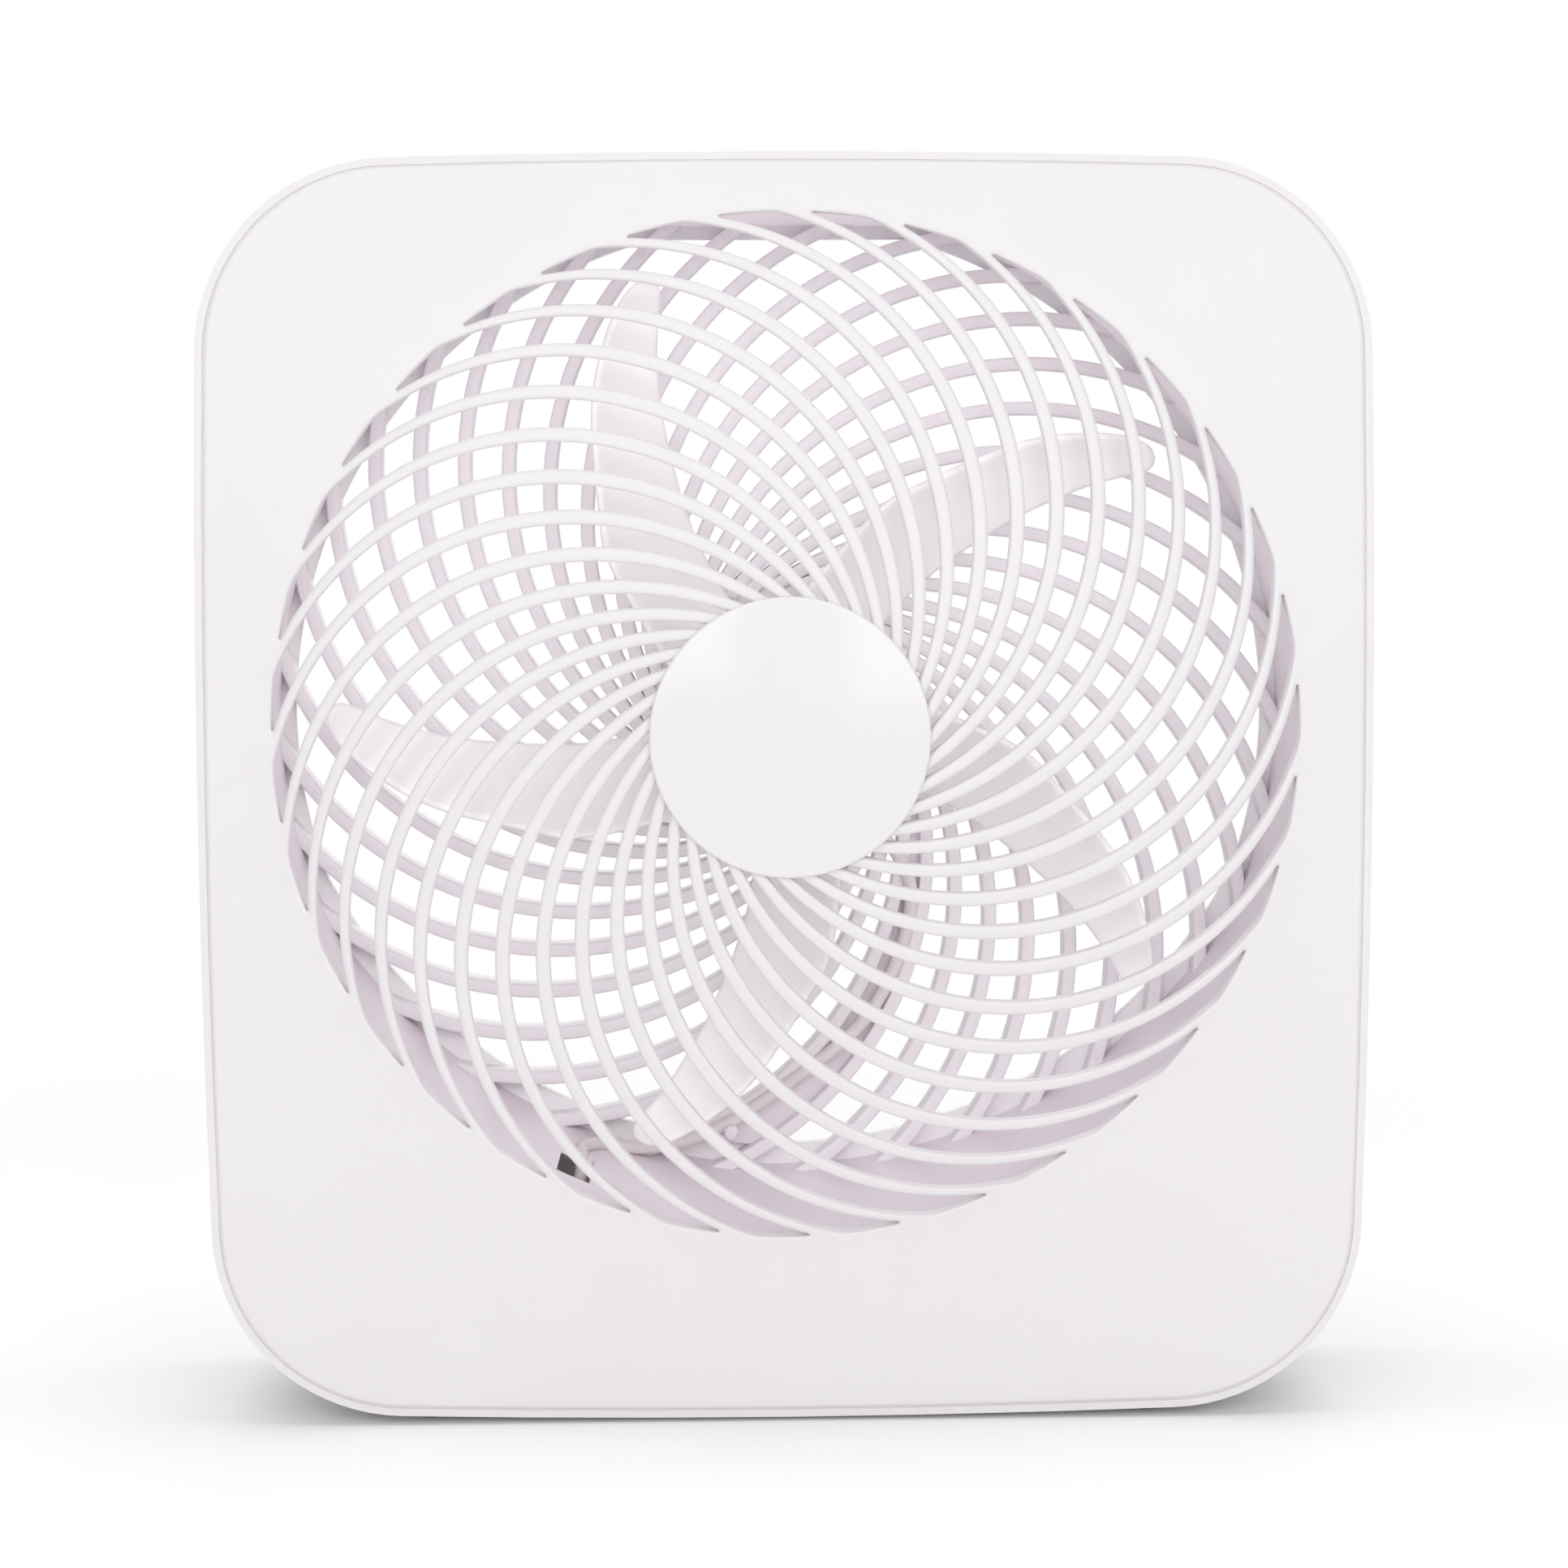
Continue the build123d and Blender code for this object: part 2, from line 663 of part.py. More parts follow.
coil_in = bore_r + tooth_tip + 0.3
coil_out = core_r - stator_ring - 1.0
with BuildPart() as stator_coils:
    for tooth in range(tooth_count):
        swing = radians(360 / tooth_count * tooth)
        out = Vector(cos(swing), 0, sin(swing))
        start = Vector(0, stack_back - stack_len / 2, axis_h) + out * coil_in
        with BuildSketch(Plane(origin=start, x_dir=(0, 1, 0), z_dir=out)):
            RectangleRounded(stack_len + 2 * coil_build, tooth_w + 2 * coil_build, coil_build)
            Rectangle(stack_len, tooth_w, mode=Mode.SUBTRACT)
        extrude(amount=coil_out - coil_in)
save(stator_coils.part, "stator_coils")

with BuildPart() as rotor_magnet:
    with BuildSketch(fan_plane(stack_back + 0.5)):
        Circle(rotor_r)
        Circle(shaft_r, mode=Mode.SUBTRACT)
    extrude(amount=stack_len + 1)
save(rotor_magnet.part, "rotor_magnet")

motor_board_y = stack_back + coil_build + 0.4 + board_t
with BuildPart() as motor_board:
    with BuildSketch(fan_plane(motor_board_y)):
        Circle(core_r - 4.4)
        Circle(bush_r + bush_wall + 1.0, mode=Mode.SUBTRACT)
    extrude(amount=board_t)
save(motor_board.part, "motor_board")

with BuildPart() as motor_screws:
    with BuildSketch(fan_plane(motor_seat + motor_plate_t)):
        with PolarLocations(motor_screw_circle, 4, start_angle=motor_screw_turn):
            Circle(motor_screw_r)
    extrude(amount=motor_plate_t + end_cap_t + 2.0)
    with BuildSketch(fan_plane(motor_seat + motor_plate_t)):
        with PolarLocations(motor_screw_circle, 4, start_angle=motor_screw_turn):
            Circle(2 * motor_screw_r)
    extrude(amount=-motor_screw_r)
save(motor_screws.part, "motor_screws")

# Screws that draw the panel onto the casing
with BuildPart() as panel_screws:
    head_y = plate_y + post_len + tube_end
    with BuildSketch(fan_plane(head_y)):
        with Locations(*post_points):
            Circle(screw_r)
    extrude(amount=tube_end + screw_grip)
    with BuildSketch(fan_plane(head_y)):
        with Locations(*post_points):
            Circle(screw_head_r)
    extrude(amount=-screw_head_t)
save(panel_screws.part, "panel_screws")

# Rocker switch
pivot_y = recess_y - 0.5
with BuildPart() as switch_body:
    with BuildSketch(fan_plane(recess_y)):
        with Locations((control_x, control_z)):
            RectangleRounded(bezel_w, bezel_h, 1.5)
    extrude(amount=-bezel_t)
    with BuildSketch(fan_plane(recess_y)):
        with Locations((control_x, control_z)):
            Rectangle(switch_w, switch_h)
    extrude(amount=switch_len)
    with BuildSketch(fan_plane(recess_y + bezel_t)):
        with Locations((control_x, control_z)):
            Rectangle(well_w, well_h)
    extrude(amount=well_d, mode=Mode.SUBTRACT)
    with BuildSketch(Plane(origin=(control_x, pivot_y, axis_h + control_z))):
        Circle(pivot_r + running_gap)
    extrude(amount=well_h / 2 + 1.0, both=True, mode=Mode.SUBTRACT)
save(switch_body.part, "switch_body")

rocker_half = rocker_w / 2
with BuildPart() as switch_rocker:
    with BuildSketch(Plane(origin=(control_x, pivot_y, axis_h + control_z - rocker_h / 2))):
        with BuildLine():
            Polyline(
                (-rocker_half, 3.2),
                (0, 2.0),
                (rocker_half, 3.2),
                (rocker_half, -1.0),
                (3, -3.2),
                (-3, -3.2),
                close=True,
            )
        make_face()
    extrude(amount=rocker_h)
    with BuildSketch(Plane(origin=(control_x, pivot_y, axis_h + control_z))):
        Circle(pivot_r)
    extrude(amount=well_h / 2 + 0.8, both=True)
rocker_axis = Axis((control_x, pivot_y, axis_h + control_z), (0, 0, 1))
save(switch_rocker.part.rotate(rocker_axis, -rocker_tilt), "switch_rocker")

switch_back = recess_y - switch_len
with BuildPart() as switch_terminals:
    with BuildSketch(fan_plane(switch_back)):
        with Locations((control_x - 5, control_z), (control_x + 5, control_z)):
            Rectangle(terminal_t, terminal_w)
    extrude(amount=terminal_len)
save(switch_terminals.part, "switch_terminals")

# Power inlet
with BuildPart() as power_inlet:
    with BuildSketch(fan_plane(recess_y)):
        with Locations((-control_x, control_z)):
            Circle(inlet_flange_r)
    extrude(amount=-inlet_flange_t)
    with BuildSketch(fan_plane(recess_y)):
        with Locations((-control_x, control_z)):
            Circle(inlet_r)
    extrude(amount=inlet_len)
    with BuildSketch(fan_plane(recess_y + inlet_flange_t)):
        with Locations((-control_x, control_z)):
            Circle(socket_r)
    extrude(amount=socket_d, mode=Mode.SUBTRACT)
    with BuildSketch(fan_plane(recess_y)):
        with Locations((-control_x, control_z)):
            Circle(inlet_pin_r)
    extrude(amount=inlet_len - 1, mode=Mode.SUBTRACT)
save(power_inlet.part, "power_inlet")

with BuildPart() as inlet_pin:
    with BuildSketch(fan_plane(recess_y - inlet_len + 1)):
        with Locations((-control_x, control_z)):
            Circle(inlet_pin_r)
    extrude(amount=-inlet_len + 1)
save(inlet_pin.part, "inlet_pin")

with BuildPart() as inlet_nut:
    with BuildSketch(fan_plane(recess_inner)):
        with Locations((-control_x, control_z)):
            RegularPolygon(inlet_nut_across / 2, 6, major_radius=False)
            Circle(inlet_r, mode=Mode.SUBTRACT)
    extrude(amount=inlet_nut_t)
save(inlet_nut.part, "inlet_nut")

# Driver board with its plugs, capacitor and screws
board_back = inner_back - board_stand
board_front = board_back - board_t
with BuildPart() as driver_board:
    with BuildSketch(fan_plane(board_back)):
        with Locations((board_x, -board_drop)):
            Rectangle(board_w, board_h)
        with Locations(*board_posts):
            Circle(board_screw_r + 0.2, mode=Mode.SUBTRACT)
    extrude(amount=board_t)
save(driver_board.part, "driver_board")

motor_plug = (board_x + 10, -board_drop + 9)
inlet_plug = (board_x + 10, -board_drop - 9)
switch_plug = (board_x - 6, -board_drop - 9)
plug_front = board_front - plug_d
with BuildPart() as board_plugs:
    with BuildSketch(fan_plane(board_front)):
        with Locations(motor_plug, inlet_plug, switch_plug):
            Rectangle(plug_w, plug_h)
    extrude(amount=plug_d)
save(board_plugs.part, "board_plugs")

with BuildPart() as board_capacitor:
    with BuildSketch(fan_plane(board_front)):
        with Locations((board_x - 10, -board_drop + 8)):
            Circle(capacitor_r)
    extrude(amount=capacitor_len)
    fillet(board_capacitor.edges().group_by(Axis.Y)[0], radius=0.8)
save(board_capacitor.part, "board_capacitor")

with BuildPart() as board_screws:
    with BuildSketch(fan_plane(board_front)):
        with Locations(*board_posts):
            Circle(board_screw_r)
    extrude(amount=-board_t - board_stand + 2)
    with BuildSketch(fan_plane(board_front)):
        with Locations(*board_posts):
            Circle(board_screw_head)
    extrude(amount=board_screw_r)
save(board_screws.part, "board_screws")

# Leads: motor to board through the duct, and inlet and switch to board
def at_axis(x, y, z):
    """Point given from the fan axis."""
    return (x, y, axis_h + z)


hole_y = face_y + hole_depth
near_hole = (duct_r - 6.5) * Vector(out_x, out_z)
past_hole = (duct_r + 16) * Vector(out_x, out_z)
motor_start = polar(core_r - 3, lead_angle)
rib_start = polar(64, lead_angle)
motor_lead = tube(
    [
        at_axis(motor_start[0], lead_y, motor_start[1]),
        at_axis(rib_start[0], lead_y, rib_start[1]),
        at_axis(37, lead_y, -98),
        at_axis(-14, lead_y, -142.5),
        at_axis(-50, lead_y, -146.5),
        at_axis(near_hole.X, hole_y, near_hole.Y),
        at_axis(past_hole.X, hole_y, past_hole.Y),
        at_axis(motor_plug[0], plug_front - 14, motor_plug[1]),
        at_axis(motor_plug[0], plug_front, motor_plug[1]),
    ],
    lead_r,
    lead_bend,
)
save(motor_lead, "motor_lead")

inlet_back = recess_y - inlet_len
inlet_lead = tube(
    [
        at_axis(-control_x, inlet_back, control_z),
        at_axis(-control_x, inlet_back - 14, control_z),
        at_axis(inlet_plug[0], plug_front - 13, inlet_plug[1]),
        at_axis(inlet_plug[0], plug_front, inlet_plug[1]),
    ],
    wire_r,
    wire_bend,
)
save(inlet_lead, "inlet_lead")

switch_lead = tube(
    [
        at_axis(control_x, switch_back, control_z),
        at_axis(control_x, switch_back - 20, control_z),
        at_axis(switch_plug[0], plug_front - 22, switch_plug[1]),
        at_axis(switch_plug[0], plug_front, switch_plug[1]),
    ],
    wire_r,
    wire_bend,
)
save(switch_lead, "switch_lead")

# Rubber feet
foot_names = ["foot_front_left", "foot_rear_left", "foot_front_right", "foot_rear_right"]
for foot_name, spot in zip(foot_names, foot_spots):
    with BuildPart() as foot:
        with BuildSketch(Plane.XY):
            with Locations(spot):
                Circle(foot_r)
        extrude(amount=foot_top)
        fillet(foot.edges().group_by(Axis.Z)[0], radius=0.6)
    save(foot.part, foot_name)
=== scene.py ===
"""Looks of the box fan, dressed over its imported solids. All lengths are in metres."""

import logging
import math
from collections.abc import Callable, Iterable, Sequence
from dataclasses import dataclass
from enum import Enum
from functools import partial

import bmesh
import bpy
from mathutils import Matrix, Vector
from mathutils.geometry import delaunay_2d_cdt


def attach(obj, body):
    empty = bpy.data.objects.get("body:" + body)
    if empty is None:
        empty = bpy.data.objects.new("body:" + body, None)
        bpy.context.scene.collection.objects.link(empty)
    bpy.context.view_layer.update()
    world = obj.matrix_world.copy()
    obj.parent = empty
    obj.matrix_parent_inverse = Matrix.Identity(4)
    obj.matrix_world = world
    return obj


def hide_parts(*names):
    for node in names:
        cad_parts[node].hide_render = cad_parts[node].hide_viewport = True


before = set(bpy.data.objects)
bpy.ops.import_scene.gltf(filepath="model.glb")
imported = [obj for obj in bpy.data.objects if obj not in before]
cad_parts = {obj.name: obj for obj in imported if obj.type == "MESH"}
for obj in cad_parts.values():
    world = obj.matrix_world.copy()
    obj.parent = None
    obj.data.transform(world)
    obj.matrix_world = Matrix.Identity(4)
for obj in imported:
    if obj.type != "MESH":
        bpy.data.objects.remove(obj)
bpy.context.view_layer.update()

LOG = logging.getLogger("box_fan")
Point = tuple[float, float]
Place = tuple[float, float, float]
Colour = tuple[float, float, float]
Loop = list[Point]
Depth = float | Callable[[float, float], float]
Mesh = bpy.types.Mesh
Socket = bpy.types.NodeSocket

# Points of a mesh that are closer than this become one.
WELD = 2e-6
# Least gap between the points of a filled face, and least square of a length.
FILL_GAP = 1e-8
TINY = 1e-12
# Edges that turn more than this many degrees stay sharp.
SHARP = 32.0


class Body(Enum):
    """Bodies of the fan that pieces ride on."""

    CASING = "casing"
    ROTOR = "rotor"


class Relief(Enum):
    """How the surface of a finish is textured."""

    MOULDED = "moulded"
    DRAWN = "drawn"


class Graph:
    """Short ways to add and link nodes in one tree."""

    def __init__(self, tree: bpy.types.NodeTree) -> None:
        """Keeps the tree that nodes go into."""
        self.tree = tree

    def set(self, socket: Socket, value: object) -> None:
        """Links an output to an input, or gives the input a value.

        Args:
            socket: the input.
            value: an output of another node, or a plain value.
        """
        if isinstance(value, Socket):
            self.tree.links.new(value, socket)
        else:
            socket.default_value = value

    def add(self, kind: str, **inputs: object) -> bpy.types.Node:
        """Adds a node and sets or links some of its inputs.

        Args:
            kind: Blender's name for the node.
            inputs: outputs or values by socket name, with _ for a space.

        Returns:
            The new node.
        """
        node = self.tree.nodes.new(kind)
        for name, value in inputs.items():
            self.set(node.inputs[name.replace("_", " ")], value)
        return node

    def flow(self, kind: str, **inputs: object) -> Socket:
        """Adds a node in the same way and gives its first output."""
        return self.add(kind, **inputs).outputs[0]

    def math(self, operation: str, first: object, second: object = 0.0) -> Socket:
        """Adds a sum of one or two values, each a number or an output.

        Args:
            operation: the Math node's operation.
            first: left value.
            second: right value.

        Returns:
            The output with the result.
        """
        node = self.add("ShaderNodeMath")
        node.operation = operation
        for socket, value in zip(node.inputs, (first, second)):
            self.set(socket, value)
        return node.outputs[0]


@dataclass(frozen=True)
class Finish:
    """One material of the fan, with a faint mottle and a surface relief.

    A finish with a rear colour carries painted shade in its own colour at the front, and nears the unshaded
    rear colour from rear_start to rear_end along Y.
    """

    name: str
    slot: str
    colour: Colour
    shade: Colour
    roughness: float
    spread: float = 0.05
    least_roughness: float = 0.02
    mottle_size: float = 0.05
    mottle_ends: Point = (0.32, 0.68)
    mottle_detail: float = 3.0
    metallic: float = 0.0
    coat: float = 0.0
    coat_roughness: float = 0.06
    relief: Relief = Relief.MOULDED
    relief_size: float = 0.0007
    relief_detail: float = 2.0
    relief_depth: float = 0.00001
    relief_strength: float = 0.6
    drawn_stretch: float = 0.06
    # Unshaded colour at the back; the main colour in front of it is then painted shade.
    rear: Colour | None = None
    rear_start: float = 0.047
    rear_end: float = 0.056

    def tint(self, graph: Graph, place: Socket) -> Socket:
        """Adds the mottled colour, and blends it along Y into the unshaded rear colour if there is one.

        Args:
            graph: graph of the material.
            place: Object coordinates.

        Returns:
            The output with the colour.
        """
        mottle = graph.flow("ShaderNodeTexNoise", Vector=place, Scale=1 / self.mottle_size,
                            Detail=self.mottle_detail)
        tone = graph.add("ShaderNodeValToRGB", Fac=mottle)
        for stop, end, colour in zip(tone.color_ramp.elements, self.mottle_ends, (self.shade, self.colour)):
            stop.position = end
            stop.color = (*colour, 1.0)
        if not self.rear:
            return tone.outputs["Color"]
        # The painted shade in front turns into the unshaded rear colour along Y.
        depth = graph.add("ShaderNodeSeparateXYZ", Vector=place).outputs["Y"]
        share = graph.flow("ShaderNodeMapRange", Value=depth, From_Min=self.rear_start,
                           From_Max=self.rear_end)
        return graph.flow("ShaderNodeMixRGB", Fac=share, Color1=tone.outputs["Color"],
                          Color2=(*self.rear, 1.0))

    def material(self) -> bpy.types.Material:
        """Builds the material once, and gives it back each time it is asked for.

        Returns:
            The node material of this finish.
        """
        found = bpy.data.materials.get(self.name)
        if found:
            return found
        made = bpy.data.materials.new(self.name)
        made.use_nodes = True
        graph, shader = Graph(made.node_tree), made.node_tree.nodes["Principled BSDF"]
        place = graph.add("ShaderNodeTexCoord").outputs["Object"]
        stretch = (1.0, self.drawn_stretch, 1.0) if self.relief is Relief.DRAWN else (1.0, 1.0, 1.0)
        stretched = graph.flow("ShaderNodeMapping", Vector=place, Scale=stretch)
        grain = graph.flow("ShaderNodeTexNoise", Vector=stretched, Scale=1 / self.relief_size,
                           Detail=self.relief_detail)
        looks = {
            "Base Color": self.tint(graph, place),
            "Metallic": self.metallic,
            "Coat Weight": self.coat,
            "Coat Roughness": self.coat_roughness,
            "Roughness": graph.flow(
                "ShaderNodeMapRange", Value=grain, To_Max=self.roughness + self.spread,
                To_Min=max(self.least_roughness, self.roughness - self.spread)),
            "Normal": graph.flow(
                "ShaderNodeBump", Height=grain, Distance=self.relief_depth, Strength=self.relief_strength),
        }
        for name, value in looks.items():
            graph.set(shader.inputs[name], value)
        return made


class Finishes:
    """Every finish of the fan."""

    PANEL = Finish("white_panel", "panel_plastic", (0.905, 0.886, 0.899), (0.893, 0.871, 0.886), 0.42)
    CAP = Finish("polished_cap", "cap_plastic", (0.918, 0.909, 0.901), (0.912, 0.902, 0.894), 0.11,
                 spread=0.015, coat=0.1, relief_depth=0.000001)
    CASING = Finish("white_casing", "casing_plastic", (0.897, 0.877, 0.891), (0.884, 0.862, 0.877), 0.42)
    # Inner moulding of the casing plastic, darkened and tinted mauve in front as painted shade, nearing the
    # unshaded white at the back.
    INNER_PAINTED_SHADE = Finish("inner_moulding_painted_shade", "casing_plastic", (0.880, 0.838, 0.867), (0.868, 0.824, 0.855),
                   0.46, rear=(0.892, 0.870, 0.885))
    # Duct wall of the casing plastic, darker and more mauve still as painted shade.
    WALL_PAINTED_SHADE = Finish("duct_wall_painted_shade", "casing_plastic", (0.872, 0.800, 0.856), (0.860, 0.785, 0.843), 0.46)
    BLADE = Finish("white_blade", "blade_plastic", (0.905, 0.884, 0.893), (0.896, 0.872, 0.882), 0.34)
    STEEL = Finish("zinc_steel", "steel", (0.62, 0.62, 0.64), (0.50, 0.50, 0.52), 0.32, metallic=1.0,
                   mottle_size=0.004, relief=Relief.DRAWN)
    MAGNET = Finish("sintered_magnet", "magnet", (0.13, 0.13, 0.14), (0.09, 0.09, 0.10), 0.6, metallic=0.4)
    MOTOR = Finish("motor_coat", "motor_steel", (0.72, 0.72, 0.73), (0.64, 0.64, 0.66), 0.35, metallic=0.8,
                   relief=Relief.DRAWN)
    BRONZE = Finish("oiled_bronze", "bronze", (0.55, 0.40, 0.22), (0.40, 0.28, 0.15), 0.4, metallic=1.0)
    LAMINATION = Finish("stacked_sheet", "laminations", (0.32, 0.32, 0.34), (0.24, 0.24, 0.26), 0.5,
                        metallic=0.8)
    COPPER = Finish("enamelled_wire", "copper", (0.62, 0.30, 0.14), (0.45, 0.20, 0.08), 0.3, metallic=0.9,
                    mottle_size=0.002, relief=Relief.DRAWN, relief_size=0.0004, relief_depth=0.0002)
    BOARD = Finish("solder_resist", "board", (0.05, 0.25, 0.12), (0.04, 0.19, 0.09), 0.3, mottle_size=0.006)
    BLACK = Finish("moulded_black", "black_plastic", (0.032, 0.032, 0.034), (0.024, 0.024, 0.026), 0.45)
    GLOSS = Finish("polished_black", "black_gloss", (0.028, 0.028, 0.030), (0.022, 0.022, 0.024), 0.16,
                   coat=0.3)
    BRASS = Finish("bright_brass", "brass", (0.72, 0.58, 0.28), (0.60, 0.46, 0.20), 0.25, metallic=1.0)
    NYLON = Finish("natural_nylon", "plug_plastic", (0.85, 0.83, 0.78), (0.80, 0.78, 0.72), 0.45)
    CAN = Finish("sleeved_can", "capacitor", (0.10, 0.10, 0.14), (0.08, 0.08, 0.11), 0.3)
    LEAD = Finish("cream_sleeve", "lead_sleeve", (0.82, 0.758, 0.745), (0.76, 0.700, 0.688), 0.5,
                  mottle_size=0.01)
    WIRE = Finish("grey_sleeve", "wire_sleeve", (0.60, 0.58, 0.55), (0.52, 0.50, 0.48), 0.5, mottle_size=0.01)
    RUBBER = Finish("foot_rubber", "foot_rubber", (0.10, 0.10, 0.10), (0.07, 0.07, 0.07), 0.75,
                    relief_depth=0.00004)


@dataclass(frozen=True)
class FanSizes:
    """Sizes that several pieces share, as in the solids."""

    axis_height: float = 0.221
    opening: float = 0.1608
    half_width: float = 0.1844
    top_rise: float = 0.179
    base_drop: float = 0.2198
    edge_bow: float = 0.0036
    corner: float = 0.061
    face_y: float = -0.0279
    plate_y: float = -0.0249
    inner_back: float = 0.0548
    back_y: float = 0.0571
    rib_front_y: float = 0.0441
    rib_back_y: float = 0.0551
    motor_seat: float = 0.0461
    hub_radius: float = 0.0424
    hub_front_y: float = -0.0531836
    duct_radius: float = 0.1662
    rib_count: int = 35


FAN = FanSizes()
AXIS = (0.0, 0.0)


def wrap(angle: float) -> float:
    """Angle brought into the half turn either side of zero."""
    return (angle + math.pi) % (2 * math.pi) - math.pi


def bearing(radius: float, turn: float) -> Point:
    """Point from the fan axis at a clockwise bearing in degrees, seen from the front."""
    return radius * math.sin(math.radians(turn)), radius * math.cos(math.radians(turn))


def ease(share: float) -> float:
    """Smooth step from zero to one."""
    held = min(1.0, max(0.0, share))
    return held * held * (3 - 2 * held)


def circle(radius: float, steps: int, centre: Point = AXIS) -> Loop:
    """Evenly spaced points on a circle, counter-clockwise seen from the front."""
    turns = (2 * math.pi * i / steps for i in range(steps))
    return [(centre[0] + radius * math.cos(a), centre[1] + radius * math.sin(a)) for a in turns]


def quarter_round(width: float, depth: float, steps: int) -> Loop:
    """Points of a rounded edge, from the front face to the side, as (inset, drop) from their corner."""
    turns = (math.pi / 2 * (1 - i / steps) for i in range(steps + 1))
    return [(width * (1 - math.cos(a)), depth * (1 - math.sin(a))) for a in turns]


def circles_meet(first: Point, first_radius: float, second: Point, second_radius: float,
                 near: Point) -> Point:
    """Finds where two circles cross.

    Args:
        first: centre of the first circle.
        first_radius: its radius.
        second: centre of the second circle.
        second_radius: its radius.
        near: point that picks one of the two crossings.

    Returns:
        The crossing nearest to the given point.
    """
    a, b = Vector(first), Vector(second)
    along = b - a
    gap = along.length
    share = (first_radius**2 - second_radius**2 + gap**2) / (2 * gap)
    rise = math.sqrt(max(0.0, first_radius**2 - share**2))
    along.normalize()
    foot, side = a + along * share, Vector((-along.y, along.x))
    return min((foot + side * s for s in (rise, -rise)), key=lambda p: (p - Vector(near)).length).to_tuple()


def circle_through(first: Point, second: Point, third: Point) -> tuple[Point, float]:
    """Finds the circle through three points.

    Args:
        first: one point.
        second: another point.
        third: a point that isn't in line with them.

    Returns:
        The circle's centre and radius.
    """
    a, b, c = Vector(first), Vector(second), Vector(third)
    u, v = b - a, c - a
    twist = 2 * (u.x * v.y - u.y * v.x)
    shift = Vector((v.y * u.length_squared - u.y * v.length_squared,
                    u.x * v.length_squared - v.x * u.length_squared))
    return (a + shift / twist).to_tuple(), shift.length / abs(twist)


def inside(point: Point, loop: Loop) -> bool:
    """Tells whether a point lies within a closed loop.

    Args:
        point: the point.
        loop: the loop.

    Returns:
        True if it does.
    """
    x, z = point
    within = False
    for (x0, z0), (x1, z1) in zip(loop, loop[1:] + loop[:1]):
        if (z0 > z) != (z1 > z) and x < x0 + (z - z0) / (z1 - z0) * (x1 - x0):
            within = not within
    return within


def clearance(point: Vector, run: Loop) -> float:
    """Finds how far a point is from an open run of points.

    Args:
        point: the point.
        run: the run.

    Returns:
        The shortest distance.
    """
    gaps = []
    for a, b in zip(run, run[1:]):
        first, along = Vector(a), Vector(b) - Vector(a)
        share = max(0.0, min(1.0, (point - first).dot(along) / max(along.length_squared, TINY)))
        gaps.append((point - first - along * share).length)
    return min(gaps)


